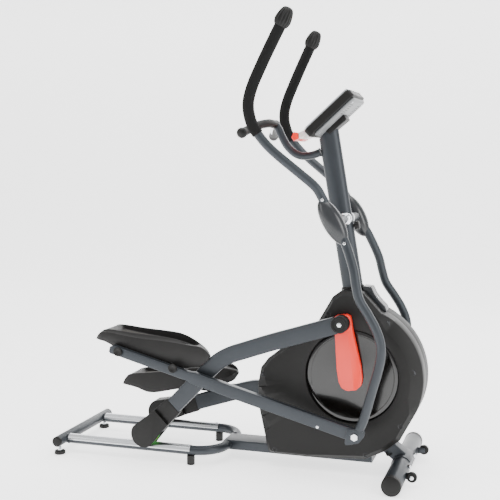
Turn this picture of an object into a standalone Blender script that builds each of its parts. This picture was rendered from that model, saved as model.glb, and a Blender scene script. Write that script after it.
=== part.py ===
"""Elliptical trainer with a front flywheel drive, as an assembly of separate parts.

Frame: +X forward (console end), +Y to the user's left, +Z up, floor at Z = 0, metres.
Side "r" is at -Y and side "l" at +Y. The right crank points up and the left one down.
"""
from math import acos, atan2, cos, hypot, pi, radians, sin, sqrt

import bmesh
import bpy
from mathutils import Matrix, Vector

# Driving dimensions
GAP = 0.0003                    # clearance between parts that touch
CRANK_AXLE = (0.438, 0.353)     # X, Z of the crank axle
CRANK_LENGTH = 0.198
CRANK_ANGLE = radians(98.3)     # right crank, counted from +X towards +Z
ROLLER_Z = 0.104
ARM_LENGTH = 0.855              # crank pin to roller axle
SWING_PIVOT = (0.395, 0.903)
SWING_END = (0.475, 0.175)      # right pedal bar pivot on the swing arm, at rest
CROSS_PIVOT = (-0.098, 0.330)   # right pedal bar pivot on the roller arm, at rest

RAIL_Y = 0.154
RAIL_Z = 0.0525
RAIL_RADIUS = 0.0175
SLEEVE_RADIUS = 0.019
REAR_X = -0.662
CROSSBAR_Z = 0.0535
CROSSBAR_RADIUS = 0.0195
FOOT_X = -0.665
FOOT_Y = 0.187
RAIL_FRONT_X = -0.14
BEAM_REAR_X = -0.0535
BEAM_FRONT_X = 0.505
BEAM_HALF_WIDTH = 0.05
BEAM_LOW = 0.0345
BEAM_HIGH = 0.0695
STABILIZER_X = 0.609
STABILIZER_RADIUS = 0.0343
TRANSPORT_AXLE = (0.6625, 0.036)
TRANSPORT_RADIUS = 0.018

CRANK_LAYER = (0.104, 0.116)    # distances from the middle plane, each side
COVER_LAYER = (0.1005, 0.1305)
DISC_LAYER = (0.086, 0.090)
ARM_LAYER = (0.140, 0.170)
BAR_LAYER = (0.186, 0.214)
CLEVIS_LAYER = (0.2165, 0.2225)
SHROUD_Y = 0.098
SHROUD_WALL = 0.003

AXLE_RADIUS = 0.012
SWING_AXLE_RADIUS = 0.0125
ROLLER_AXLE_RADIUS = 0.006
LINK_BOLT_RADIUS = 0.008
LINK_BUSH_RADIUS = 0.0135       # bearing bush of the link bolt, inside the pedal bar
SLEEVE_BEARING_RADIUS = 0.0185  # swing arm bearing sleeve
FLYWHEEL = (0.235, 0.215)
FLYWHEEL_RADIUS = 0.105
PULLEY_RADIUS = 0.125
SMALL_PULLEY_RADIUS = 0.0165
BELT_LAYER = (0.041, 0.051)

COLOURS = {                     # base colour, metallic, roughness
    "frame_paint": ((0.075, 0.085, 0.095), 0.6, 0.42),
    "black_plastic": ((0.012, 0.012, 0.012), 0.0, 0.55),
    "gloss_black": ((0.006, 0.005, 0.004), 0.0, 0.12),
    "red_plastic": ((0.87, 0.065, 0.025), 0.0, 0.3),
    "bright_metal": ((0.72, 0.73, 0.75), 1.0, 0.25),
    "cast_iron": ((0.12, 0.12, 0.12), 0.9, 0.5),
    "foam": ((0.022, 0.022, 0.022), 0.0, 0.85),
    "rubber": ((0.015, 0.015, 0.015), 0.0, 0.8),
    "green_urethane": ((0.03, 0.26, 0.02), 0.0, 0.45),
    "grey_plastic": ((0.27, 0.27, 0.27), 0.0, 0.5),
}

for old in list(bpy.data.objects):
    bpy.data.objects.remove(old)


def new_collection(name):
    collection = bpy.data.collections.new(name)
    bpy.context.scene.collection.children.link(collection)
    return collection


PARTS = new_collection("elliptical_trainer")
CUTTERS = new_collection("cutters")


def material(name):
    found = bpy.data.materials.get(name)
    if found:
        return found
    colour, metallic, roughness = COLOURS[name]
    made = bpy.data.materials.new(name)
    made.use_nodes = True
    shader = made.node_tree.nodes["Principled BSDF"]
    shader.inputs["Base Color"].default_value = (*colour, 1.0)
    shader.inputs["Metallic"].default_value = metallic
    shader.inputs["Roughness"].default_value = roughness
    return made


def keep_mesh(name, mesh, finish):
    """Link a mesh as a part, or as a hidden cutter when it has no finish."""
    mesh.shade_smooth()
    mesh.set_sharp_from_angle(angle=radians(35))
    made = bpy.data.objects.new(name, mesh)
    if finish is None:
        CUTTERS.objects.link(made)
        made.hide_render = True
        made.display_type = "WIRE"
    else:
        PARTS.objects.link(made)
        mesh.materials.clear()
        mesh.materials.append(material(finish))
    return made


def from_bmesh(name, bm, finish):
    bmesh.ops.recalc_face_normals(bm, faces=bm.faces)
    mesh = bpy.data.meshes.new(name)
    bm.to_mesh(mesh)
    bm.free()
    return keep_mesh(name, mesh, finish)


def mesh_of_curve(name, curve, finish, turn=Matrix.Identity(4)):
    """Turn a curve into a welded mesh in world space and drop the curve."""
    guide = bpy.data.objects.new(name + "_curve", curve)
    CUTTERS.objects.link(guide)
    bpy.context.view_layer.update()
    graph = bpy.context.evaluated_depsgraph_get()
    mesh = bpy.data.meshes.new_from_object(guide.evaluated_get(graph))
    mesh.transform(turn)
    bpy.data.objects.remove(guide)
    bm = bmesh.new()
    bm.from_mesh(mesh)
    bmesh.ops.remove_doubles(bm, verts=bm.verts, dist=0.00002)
    return from_bmesh(name, bm, finish)


def add_spline(curve, points, cyclic):
    spline = curve.splines.new("POLY")
    spline.points.add(len(points) - 1)
    for target, point in zip(spline.points, points):
        target.co = (*point, 1.0) if len(point) == 3 else (*point, 0.0, 1.0)
    spline.use_cyclic_u = cyclic


def tube(name, path, radius, finish, sides=3):
    curve = bpy.data.curves.new(name, "CURVE")
    curve.dimensions = "3D"
    curve.bevel_depth = radius
    curve.bevel_resolution = sides
    curve.use_fill_caps = True
    add_spline(curve, path, False)
    return mesh_of_curve(name, curve, finish)


def plate(name, outline, y_range, finish, holes=()):
    """Flat piece from an X, Z outline with holes, between two Y values."""
    low, high = sorted(y_range)
    curve = bpy.data.curves.new(name, "CURVE")
    curve.dimensions = "2D"
    curve.fill_mode = "BOTH"
    curve.extrude = (high - low) / 2
    add_spline(curve, outline, True)
    for hole in holes:
        add_spline(curve, hole, True)
    turn = Matrix.Translation((0, (low + high) / 2, 0)) @ Matrix.Rotation(pi / 2, 4, "X")
    return mesh_of_curve(name, curve, finish, turn)


def circle(centre, radius, sides=32):
    turns = [2 * pi * (i + 0.5) / sides for i in range(sides)]
    return [(centre[0] + radius * cos(t), centre[1] + radius * sin(t)) for t in turns]


def round_bar(name, centre, radius, y_range, finish, sides=32):
    """Cylinder along Y."""
    low, high = sorted(y_range)
    bm = bmesh.new()
    bmesh.ops.create_cone(bm, cap_ends=True, segments=sides, radius1=radius, radius2=radius,
                          depth=high - low)
    place = Matrix.Translation((centre[0], (low + high) / 2, centre[1]))
    bm.transform(place @ Matrix.Rotation(pi / 2, 4, "X"))
    return from_bmesh(name, bm, finish)


def upright(name, place, radii, z_range, finish, sides):
    """Cylinder or cone along Z, with its lower and upper radius."""
    bm = bmesh.new()
    bmesh.ops.create_cone(bm, cap_ends=True, segments=sides, radius1=radii[0], radius2=radii[1],
                          depth=z_range[1] - z_range[0])
    bm.transform(Matrix.Translation((*place, sum(z_range) / 2)))
    return from_bmesh(name, bm, finish)


def box(name, low, high, finish):
    bm = bmesh.new()
    bmesh.ops.create_cube(bm, size=1.0)
    size = [b - a for a, b in zip(low, high)]
    middle = [(a + b) / 2 for a, b in zip(low, high)]
    bm.transform(Matrix.Translation(middle) @ Matrix.Diagonal((*size, 1.0)))
    return from_bmesh(name, bm, finish)


def turned(name, centre, profile, finish, steps=32):
    """Closed ring turned about Y: the profile is a loop of (radius, y) points."""
    following = profile[1:] + profile[:1]
    area = sum(a[0] * b[1] - b[0] * a[1] for a, b in zip(profile, following))
    if area > 0:                # the outer side has to run down
        profile = profile[::-1]
    bm = bmesh.new()
    corners = [bm.verts.new((radius, 0, y)) for radius, y in profile]
    for i in range(len(corners)):
        bm.edges.new((corners[i], corners[(i + 1) % len(corners)]))
    mesh = bpy.data.meshes.new(name)
    bm.to_mesh(mesh)
    bm.free()
    made = keep_mesh(name, mesh, finish)
    place = Matrix.Translation((centre[0], 0, centre[1]))
    made.matrix_world = place @ Matrix.Rotation(-pi / 2, 4, "X")
    screw = made.modifiers.new("turn", "SCREW")
    screw.steps = steps
    screw.render_steps = steps
    screw.merge_threshold = 0.0001
    screw.use_merge_vertices = True
    return made


def combine(target, operation, *others):
    for other in others:
        step = target.modifiers.new(operation.lower(), "BOOLEAN")
        step.operation = operation
        step.object = other
        step.solver = "EXACT"
    return target


def cut(target, *cutters):
    return combine(target, "DIFFERENCE", *cutters)


def join(target, *others):
    return combine(target, "UNION", *others)


def smooth(points, per_span=4):
    """Catmull-Rom curve through the points."""
    vectors = [Vector(p) for p in points]
    ends = [2 * vectors[0] - vectors[1]] + vectors + [2 * vectors[-1] - vectors[-2]]
    path = []
    for a, b, c, d in zip(ends, ends[1:], ends[2:], ends[3:]):
        for i in range(per_span):
            t = i / per_span
            path.append(0.5 * (2 * b + (c - a) * t + (2 * a - 5 * b + 4 * c - d) * t ** 2
                               + (3 * b - a - 3 * c + d) * t ** 3))
    path.append(vectors[-1])
    return [tuple(p) for p in path]


def rounded(corners, radius, steps=3):
    """Closed outline whose corners are rounded."""
    outline = []
    for i, corner in enumerate(corners):
        here = Vector(corner)
        before = Vector(corners[i - 1]) - here
        after = Vector(corners[(i + 1) % len(corners)]) - here
        half = before.angle(after) / 2
        wanted = radius / max(abs(sin(half) / cos(half)), 0.001)
        reach = min(wanted, before.length * 0.45, after.length * 0.45)
        start = here + before.normalized() * reach
        end = here + after.normalized() * reach
        for k in range(steps + 1):
            t = k / steps
            outline.append(tuple((1 - t) ** 2 * start + 2 * t * (1 - t) * here + t ** 2 * end))
    return outline


def pivot(name, centre, y=0.0):
    """Empty on a joint's axis, the parent of what turns about it."""
    empty = bpy.data.objects.new(name, None)
    empty.empty_display_size = 0.04
    empty.location = (centre[0], y, centre[1])
    CUTTERS.objects.link(empty)
    bpy.context.view_layer.update()
    return empty


def hang(empty, *pieces):
    for piece in pieces:
        piece.parent = empty
        piece.matrix_parent_inverse = empty.matrix_world.inverted()


# ---------------------------------------------------------------- linkage


def turned_point(point, angle, old_centre, new_centre):
    x = point[0] - old_centre[0]
    z = point[1] - old_centre[1]
    return (new_centre[0] + x * cos(angle) - z * sin(angle),
            new_centre[1] + x * sin(angle) + z * cos(angle))


def heading(start, end):
    return atan2(end[1] - start[1], end[0] - start[0])


def distance(a, b):
    return hypot(b[0] - a[0], b[1] - a[1])


def arm_ends(crank_angle):
    """Crank pin and roller axle of one side, for its crank angle."""
    pin = (CRANK_AXLE[0] + CRANK_LENGTH * cos(crank_angle),
           CRANK_AXLE[1] + CRANK_LENGTH * sin(crank_angle))
    roller = (pin[0] - sqrt(ARM_LENGTH ** 2 - (pin[1] - ROLLER_Z) ** 2), ROLLER_Z)
    return pin, roller


def swing_end_for(cross):
    """Where the pedal bar meets the swing arm, for a cross pivot position."""
    bar = distance(CROSS_PIVOT, SWING_END)
    swing = distance(SWING_PIVOT, SWING_END)
    span = distance(cross, SWING_PIVOT)
    corner = acos((bar ** 2 + span ** 2 - swing ** 2) / (2 * bar * span))
    angle = heading(cross, SWING_PIVOT) - corner
    return (cross[0] + bar * cos(angle), cross[1] + bar * sin(angle))


REST_PIN, REST_ROLLER = arm_ends(CRANK_ANGLE)


class Side:
    """One side of the linkage: maps right-side rest coordinates to this side's pose."""

    def __init__(self, tag, sign, crank_angle):
        self.tag = tag
        self.sign = sign
        self.crank_angle = crank_angle
        self.pin, self.roller = arm_ends(crank_angle)
        self.arm_turn = heading(self.roller, self.pin) - heading(REST_ROLLER, REST_PIN)
        self.cross = self.arm(CROSS_PIVOT)
        self.swing_end = swing_end_for(self.cross)
        self.bar_turn = heading(self.cross, self.swing_end) - heading(CROSS_PIVOT, SWING_END)
        self.swing_turn = heading(SWING_PIVOT, self.swing_end) - heading(SWING_PIVOT, SWING_END)

    def name(self, base):
        return base + "_" + self.tag

    def layer(self, near, far):
        return (self.sign * near, self.sign * far)

    def arm(self, point):
        return turned_point(point, self.arm_turn, REST_ROLLER, self.roller)

    def bar(self, point):
        return turned_point(point, self.bar_turn, SWING_END, self.swing_end)

    def swing(self, point):
        return turned_point(point, self.swing_turn, SWING_PIVOT, SWING_PIVOT)

    def crank(self, along, across):
        """Point in the crank's own directions: along it from the axle, and across it."""
        c, s = cos(self.crank_angle), sin(self.crank_angle)
        return (CRANK_AXLE[0] + along * c + across * s, CRANK_AXLE[1] + along * s - across * c)


SIDES = [Side("r", -1, CRANK_ANGLE), Side("l", 1, CRANK_ANGLE + pi)]


def strip(start, end, half_start, half_end=None):
    """Four corners of a straight strip between two X, Z points."""
    half_end = half_start if half_end is None else half_end
    angle = heading(start, end)
    nx, nz = -sin(angle), cos(angle)
    return [(start[0] + nx * half_start, start[1] + nz * half_start),
            (start[0] - nx * half_start, start[1] - nz * half_start),
            (end[0] - nx * half_end, end[1] - nz * half_end),
            (end[0] + nx * half_end, end[1] + nz * half_end)]


def hull_outline(points):
    """Convex outline round a set of X, Z points."""
    ordered = sorted(points)
    halves = []
    for row in (ordered, ordered[::-1]):
        edge = []
        for p in row:
            while len(edge) > 1 and ((edge[-1][0] - edge[-2][0]) * (p[1] - edge[-2][1])
                                     - (edge[-1][1] - edge[-2][1]) * (p[0] - edge[-2][0])) <= 1e-9:
                edge.pop()
            edge.append(p)
        halves += edge[:-1]
    return halves


def ribbon(path, half):
    """Outline of a bar of constant height along an X, Z path."""
    left, right = [], []
    for i, point in enumerate(path):
        before = path[max(i - 1, 0)]
        after = path[min(i + 1, len(path) - 1)]
        angle = heading(before, after)
        left.append((point[0] - sin(angle) * half, point[1] + cos(angle) * half))
        right.append((point[0] + sin(angle) * half, point[1] - cos(angle) * half))
    return left + right[::-1]


# ---------------------------------------------------------------- base frame


def rail_path(sign):
    """Straight run, then a quarter bend in to the side of the centre beam."""
    straight = 0.006
    bend = RAIL_Y - BEAM_HALF_WIDTH - straight
    path = [(REAR_X + 0.0198, sign * RAIL_Y, RAIL_Z)]
    for i in range(7):
        turn = i / 6 * pi / 2
        path.append((RAIL_FRONT_X + bend * sin(turn), sign * (RAIL_Y - bend + bend * cos(turn)), RAIL_Z))
    path.append((path[-1][0], sign * (BEAM_HALF_WIDTH + GAP), RAIL_Z))
    return path


def rail_sleeve(side):
    """Thin half tube laid over the top of a rail, on which the roller runs."""
    inner = RAIL_RADIUS + GAP
    arc = [pi * i / 10 for i in range(11)]
    outline = [(SLEEVE_RADIUS * cos(a), SLEEVE_RADIUS * sin(a)) for a in arc]
    outline += [(inner * cos(a), inner * sin(a)) for a in reversed(arc)]
    curve = bpy.data.curves.new(side.name("rail_sleeve"), "CURVE")
    curve.dimensions = "2D"
    curve.fill_mode = "BOTH"
    length = RAIL_FRONT_X - 0.004 - (REAR_X + 0.024)
    curve.extrude = length / 2
    add_spline(curve, outline, True)
    place = Matrix.Translation((REAR_X + 0.024 + length / 2, side.sign * RAIL_Y, RAIL_Z))
    turn = place @ Matrix.Rotation(pi / 2, 4, "Z") @ Matrix.Rotation(pi / 2, 4, "X")
    return mesh_of_curve(side.name("rail_sleeve"), curve, "bright_metal", turn)


def make_base():
    box("center_beam", (BEAM_REAR_X, -BEAM_HALF_WIDTH, BEAM_LOW),
        (BEAM_FRONT_X, BEAM_HALF_WIDTH, BEAM_HIGH), "frame_paint")
    round_bar("rear_crossbar", (REAR_X, CROSSBAR_Z), CROSSBAR_RADIUS, (-0.218, 0.218), "frame_paint", 24)
    for side in SIDES:
        tube(side.name("rail_tube"), rail_path(side.sign), RAIL_RADIUS, "frame_paint")
        rail_sleeve(side)
        mid_post = (RAIL_FRONT_X - 0.004, side.sign * 0.157)
        upright(side.name("mid_foot"), mid_post, (0.0145, 0.0145), (0.0, RAIL_Z - RAIL_RADIUS - GAP),
                "black_plastic", 16)
        place = (FOOT_X, side.sign * FOOT_Y)
        foot = upright(side.name("leveling_foot"), place, (0.0205, 0.0185), (0.0, 0.014), "rubber", 20)
        stud_top = CROSSBAR_Z - CROSSBAR_RADIUS - GAP
        join(foot, upright(side.name("foot_stud"), place, (0.005, 0.005), (0.010, stud_top), None, 12))
        hang(pivot(side.name("foot_axis"), (FOOT_X, 0.0), side.sign * FOOT_Y), foot)
    bar = round_bar("front_stabilizer", (STABILIZER_X, STABILIZER_RADIUS), STABILIZER_RADIUS,
                    (-0.281, 0.281), "frame_paint", 32)
    for side in SIDES:
        ear = strip((STABILIZER_X + 0.02, TRANSPORT_AXLE[1]), (0.668, TRANSPORT_AXLE[1]), 0.012, 0.009)
        bracket = plate(side.name("wheel_bracket"), ear, side.layer(0.149, 0.1535), None)
        join(bar, bracket)
        radius = TRANSPORT_RADIUS
        roll = turned(side.name("transport_wheel"), TRANSPORT_AXLE,
                      [(radius, 0.0), (radius, 0.016), (0.004, 0.016), (0.004, 0.0)], "black_plastic", 20)
        y_low = side.sign * 0.154 if side.sign > 0 else -0.170
        roll.matrix_world = Matrix.Translation((0, y_low, 0)) @ roll.matrix_world
        hang(pivot(side.name("transport_axis"), TRANSPORT_AXLE), roll)
    neck = plate("front_neck", strip((0.521, 0.121), (0.612, 0.050), 0.025), (-0.03, 0.03), "frame_paint")
    cut(neck, round_bar("neck_saddle_cut", (STABILIZER_X, STABILIZER_RADIUS),
                        STABILIZER_RADIUS + GAP, (-0.06, 0.06), None))


def post_point(height):
    """Centre line of the post inside the shroud."""
    return (0.478 - (height - 0.07) * 0.0906, height)


def mast_point(height):
    """Centre line of the leaning mast."""
    return (0.422 - (height - 0.647) * 0.169, height)


def make_posts():
    low = post_point(BEAM_HIGH + GAP + 0.0023)
    high = post_point(0.597)
    post = plate("frame_post", strip(low, high, 0.025), (-0.02, 0.02), "frame_paint")
    shell = round_bar("bearing_shell", CRANK_AXLE, 0.0235, (-0.034, 0.034), None)
    join(post, shell)
    cut(post, round_bar("bearing_bore", CRANK_AXLE, AXLE_RADIUS + 0.0006, (-0.05, 0.05), None))

    bm = bmesh.new()
    bmesh.ops.create_cone(bm, cap_ends=True, segments=28, radius1=0.5, radius2=0.5, depth=1.0)
    start = Vector((mast_point(0.604)[0], 0, 0.604))
    end = Vector((mast_point(1.32)[0], 0, 1.32))
    lean = Vector((0, 0, 1)).rotation_difference(end - start).to_matrix().to_4x4()
    shape = Matrix.Diagonal((0.0745, 0.052, (end - start).length, 1.0))
    bm.transform(Matrix.Translation((start + end) / 2) @ lean @ shape)
    mast = from_bmesh("mast", bm, "frame_paint")
    cut(mast, round_bar("mast_bore", SWING_PIVOT, SWING_AXLE_RADIUS + GAP, (-0.05, 0.05), None),
        console_plate("mast_top_cut", (-0.1, 0.3), (-0.0458, 0.2), 0.1, None))
    round_bar("swing_axle", SWING_PIVOT, SWING_AXLE_RADIUS, (-0.2195, 0.2195), "bright_metal", 24)


# ---------------------------------------------------------------- console and fixed handlebar

CONSOLE_CORNER = (0.258, 1.213)
CONSOLE_TILT = radians(42.3)
CONSOLE_LENGTH = 0.2124


def console_point(along, out):
    """Point from the console's lower edge, along its face and out of the face."""
    c, s = cos(CONSOLE_TILT), sin(CONSOLE_TILT)
    return (CONSOLE_CORNER[0] + along * c - out * s, CONSOLE_CORNER[1] + along * s + out * c)


def console_plate(name, along, out, half_width, finish):
    corners = [console_point(along[0], out[0]), console_point(along[1], out[0]),
               console_point(along[1], out[1]), console_point(along[0], out[1])]
    return plate(name, corners, (-half_width, half_width), finish)


def make_console():
    console_plate("console_body", (0, CONSOLE_LENGTH), (-0.034, 0), 0.105, "black_plastic")
    console_plate("console_back", (0.020, 0.205), (-0.0455, -0.034 - GAP), 0.098, "grey_plastic")
    stem = [(0.2978, 0, 1.1380), (0.267, 0, 1.128), (0.230, 0, 1.125), (0.201, 0, 1.136),
            (0.175, 0, 1.161), (0.156, 0, 1.193), (0.141, 0, 1.225), (0.128, 0, 1.239)]
    tube("pulse_bar", smooth(stem, 2), 0.014, "frame_paint")
    for side in SIDES:
        horn = [(0.130, 0.0152, 1.238), (0.118, 0.050, 1.241), (0.095, 0.112, 1.230),
                (0.066, 0.198, 1.203)]
        path = smooth([(x, side.sign * y, z) for x, y, z in horn], 3)
        tube(side.name("pulse_grip"), path, 0.0155, "black_plastic")


# ---------------------------------------------------------------- shroud and drive


def shroud_outline():
    centre, radius = (0.425, 0.345), 0.2605
    arc = [radians(-25 + 91 * i / 10) for i in range(11)]
    front = [(centre[0] + radius * cos(a), centre[1] + radius * sin(a)) for a in arc]
    rest = [(0.470, 0.652), (0.395, 0.655), (0.364, 0.632), (0.312, 0.542), (0.128, 0.398),
            (0.100, 0.362), (0.088, 0.298), (0.092, 0.215), (0.129, 0.046), (0.272, 0.043),
            (0.486, 0.055), (0.552, 0.088), (0.607, 0.133)]
    return front + rest


def make_shroud(side):
    bm = bmesh.new()
    rim = [bm.verts.new((x, side.sign * 0.080, z)) for x, z in shroud_outline()]
    face = bm.faces.new(rim)
    for depth in (0.092, SHROUD_Y):
        rim_band = bmesh.ops.inset_region(bm, faces=[face], thickness=0.012, depth=0)
        face = next(f for f in bm.faces if len(f.verts) > 4 and f not in rim_band["faces"])
        for vert in face.verts:
            vert.co.y = side.sign * depth
    edges = [e for e in bm.edges if e.is_boundary]
    walls = bmesh.ops.extrude_edge_only(bm, edges=edges)
    for item in walls["geom"]:
        if isinstance(item, bmesh.types.BMVert):
            item.co.y = side.sign * GAP / 2
    bmesh.ops.recalc_face_normals(bm, faces=bm.faces)
    if sum(f.normal.y * side.sign for f in bm.faces if len(f.verts) > 4) < 0:
        bmesh.ops.reverse_faces(bm, faces=bm.faces)
    mesh = bpy.data.meshes.new("shroud")
    bm.to_mesh(mesh)
    bm.free()
    shell = keep_mesh(side.name("shroud"), mesh, "black_plastic")
    wall = shell.modifiers.new("wall", "SOLIDIFY")
    wall.thickness = SHROUD_WALL
    wall.offset = -1.0
    wall.use_even_offset = True
    cut(shell,
        round_bar(side.name("disc_opening"), CRANK_AXLE, 0.166, side.layer(0.05, 0.12), None, 48),
        box(side.name("beam_opening"), (-0.1, -0.0505, 0.02), (0.6, 0.0505, BEAM_HIGH + 0.0005), None),
        plate(side.name("neck_opening"), strip((0.45, 0.1764), (0.65, 0.0204), 0.0256),
              (-0.0306, 0.0306), None),
        plate(side.name("mast_opening"), strip(mast_point(0.58), mast_point(0.72), 0.0385),
              (-0.0268, 0.0268), None))


def belt_loop(radius_a, radius_b):
    """Closed path round the two pulleys, wound tight."""
    a, b = CRANK_AXLE, FLYWHEEL
    line = heading(a, b)
    lean = acos((radius_a - radius_b) / distance(a, b))
    loop = []
    for i in range(33):
        turn = line + lean + (2 * pi - 2 * lean) * i / 32
        loop.append((a[0] + radius_a * cos(turn), a[1] + radius_a * sin(turn)))
    for i in range(9):
        turn = line - lean + 2 * lean * i / 8
        loop.append((b[0] + radius_b * cos(turn), b[1] + radius_b * sin(turn)))
    return loop


def make_drive():
    crank_axis = pivot("crank_axis", CRANK_AXLE)
    axle = round_bar("crank_axle", CRANK_AXLE, AXLE_RADIUS, (-0.1165, 0.1165), "bright_metal", 32)
    hub = AXLE_RADIUS + GAP
    pulley = turned("drive_pulley", CRANK_AXLE,
                    [(PULLEY_RADIUS, 0.040), (PULLEY_RADIUS, 0.052), (PULLEY_RADIUS - 0.012, 0.052),
                     (PULLEY_RADIUS - 0.016, 0.048), (0.026, 0.048), (0.024, 0.056), (hub, 0.056),
                     (hub, 0.036), (0.024, 0.036), (0.026, 0.044), (PULLEY_RADIUS - 0.016, 0.044),
                     (PULLEY_RADIUS - 0.012, 0.040)], "cast_iron", 32)
    hang(crank_axis, axle, pulley)
    for side in SIDES:
        disc = plate(side.name("crank_disc"), circle(CRANK_AXLE, 0.1625, 48), side.layer(*DISC_LAYER),
                     "gloss_black", [circle(CRANK_AXLE, hub)])
        lever = rounded([side.crank(*p) for p in [(-0.020, -0.019), (0.216, -0.016), (0.216, 0.016),
                                                 (-0.020, 0.019)]], 0.015)
        arm = plate(side.name("crank_arm"), lever, side.layer(*CRANK_LAYER), "bright_metal",
                    [circle(CRANK_AXLE, hub)])
        shape = [(-0.042, -0.016), (-0.030, -0.034), (-0.008, -0.041), (0.038, -0.042), (0.165, -0.031),
                 (0.213, -0.030), (0.224, -0.020)]
        shape = shape + [(u, -v) for u, v in reversed(shape)]
        inner = [(-0.036, -0.014), (-0.026, -0.029), (-0.008, -0.036), (0.038, -0.037), (0.165, -0.026),
                 (0.211, -0.025), (0.219, -0.018)]
        inner = inner + [(u, -v) for u, v in reversed(inner)]
        cover = plate(side.name("crank_cover"), [side.crank(*p) for p in shape],
                      side.layer(*COVER_LAYER), "red_plastic")
        cut(cover, plate(side.name("cover_pocket"), [side.crank(*p) for p in inner],
                         side.layer(0.09, 0.1275), None))
        hang(crank_axis, disc, arm, cover)

    fly_axis = pivot("flywheel_axis", FLYWHEEL)
    bore = 0.0083
    flywheel = turned("flywheel", FLYWHEEL,
                      [(FLYWHEEL_RADIUS, -0.018), (FLYWHEEL_RADIUS, 0.012), (0.082, 0.012), (0.078, 0.003),
                       (0.026, 0.003), (0.024, 0.036), (0.021, 0.040), (SMALL_PULLEY_RADIUS, 0.0405),
                       (SMALL_PULLEY_RADIUS, 0.0515), (0.021, 0.052), (0.021, 0.056), (bore, 0.056),
                       (bore, -0.024), (0.024, -0.024), (0.026, -0.009), (0.078, -0.009),
                       (0.082, -0.018)], "cast_iron", 32)
    hang(fly_axis, flywheel)
    mount = round_bar("flywheel_mount", FLYWHEEL, 0.0077, (-0.040, 0.068), "bright_metal", 24)
    foot = BEAM_HIGH + GAP
    for number, y_range in enumerate([(-0.036, -0.030), (0.0595, 0.0645)]):
        outline = [(FLYWHEEL[0] - 0.035, foot), (FLYWHEEL[0] + 0.035, foot),
                   (FLYWHEEL[0] + 0.014, FLYWHEEL[1] + 0.014), (FLYWHEEL[0] - 0.014, FLYWHEEL[1] + 0.014)]
        join(mount, plate("mount_plate_%d" % number, outline, y_range, None))
    join(mount, box("mount_base", (FLYWHEEL[0] - 0.035, -0.036, foot),
                    (FLYWHEEL[0] + 0.035, 0.0645, foot + 0.005), None))

    outer = belt_loop(PULLEY_RADIUS + 0.0028, SMALL_PULLEY_RADIUS + 0.0028)
    inner = belt_loop(PULLEY_RADIUS + 0.0008, SMALL_PULLEY_RADIUS + 0.0008)
    plate("drive_belt", outer, BELT_LAYER, "rubber", [inner])

    arc = [radians(112 + 88 * i / 10) for i in range(11)]
    yoke = [(FLYWHEEL[0] + 0.1195 * cos(a), FLYWHEEL[1] + 0.1195 * sin(a)) for a in arc]
    yoke += [(FLYWHEEL[0] + 0.1085 * cos(a), FLYWHEEL[1] + 0.1085 * sin(a)) for a in reversed(arc)]
    brake = plate("brake_yoke", yoke, (-0.020, 0.014), "cast_iron")
    hang(pivot("brake_axis", yoke[0]), brake)


# ---------------------------------------------------------------- moving sides

ARM_PATH = [(0.393, 0.5437), (0.157, 0.4690), (0.020, 0.4210), (-0.020, 0.4010), (-0.056, 0.3715),
            (-0.206, 0.2180), (-0.262, 0.1615)]


def boot_line(reach):
    """Point on the straight lower end of the roller arm, from the roller axle."""
    angle = heading(REST_ROLLER, (-0.206, 0.218))
    return (REST_ROLLER[0] + reach * cos(angle), REST_ROLLER[1] + reach * sin(angle))


ARM_PATH += [boot_line(0.135), boot_line(0.08)]


def make_roller(side):
    truck = pivot(side.name("truck_axis"), side.roller, side.sign * RAIL_Y)
    axle = round_bar(side.name("roller_axle"), side.roller, ROLLER_AXLE_RADIUS, side.layer(0.1272, 0.1808),
                     "bright_metal", 20)
    groove = []
    for i in range(7):
        t = -0.0185 + 0.037 * i / 6
        groove.append((ROLLER_Z - RAIL_Z - sqrt(0.0202 ** 2 - t ** 2), RAIL_Y + t))
    profile = [(0.045, RAIL_Y - 0.0215), (0.045, RAIL_Y - 0.0192)] + groove
    profile += [(0.045, RAIL_Y + 0.0192), (0.045, RAIL_Y + 0.0215), (0.0066, RAIL_Y + 0.0215),
                (0.0066, RAIL_Y - 0.0215)]
    profile = [(r, side.sign * y) for r, y in profile]
    wheel = turned(side.name("roller_wheel"), side.roller, profile, "green_urethane", 24)
    hang(truck, axle, wheel)


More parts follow.
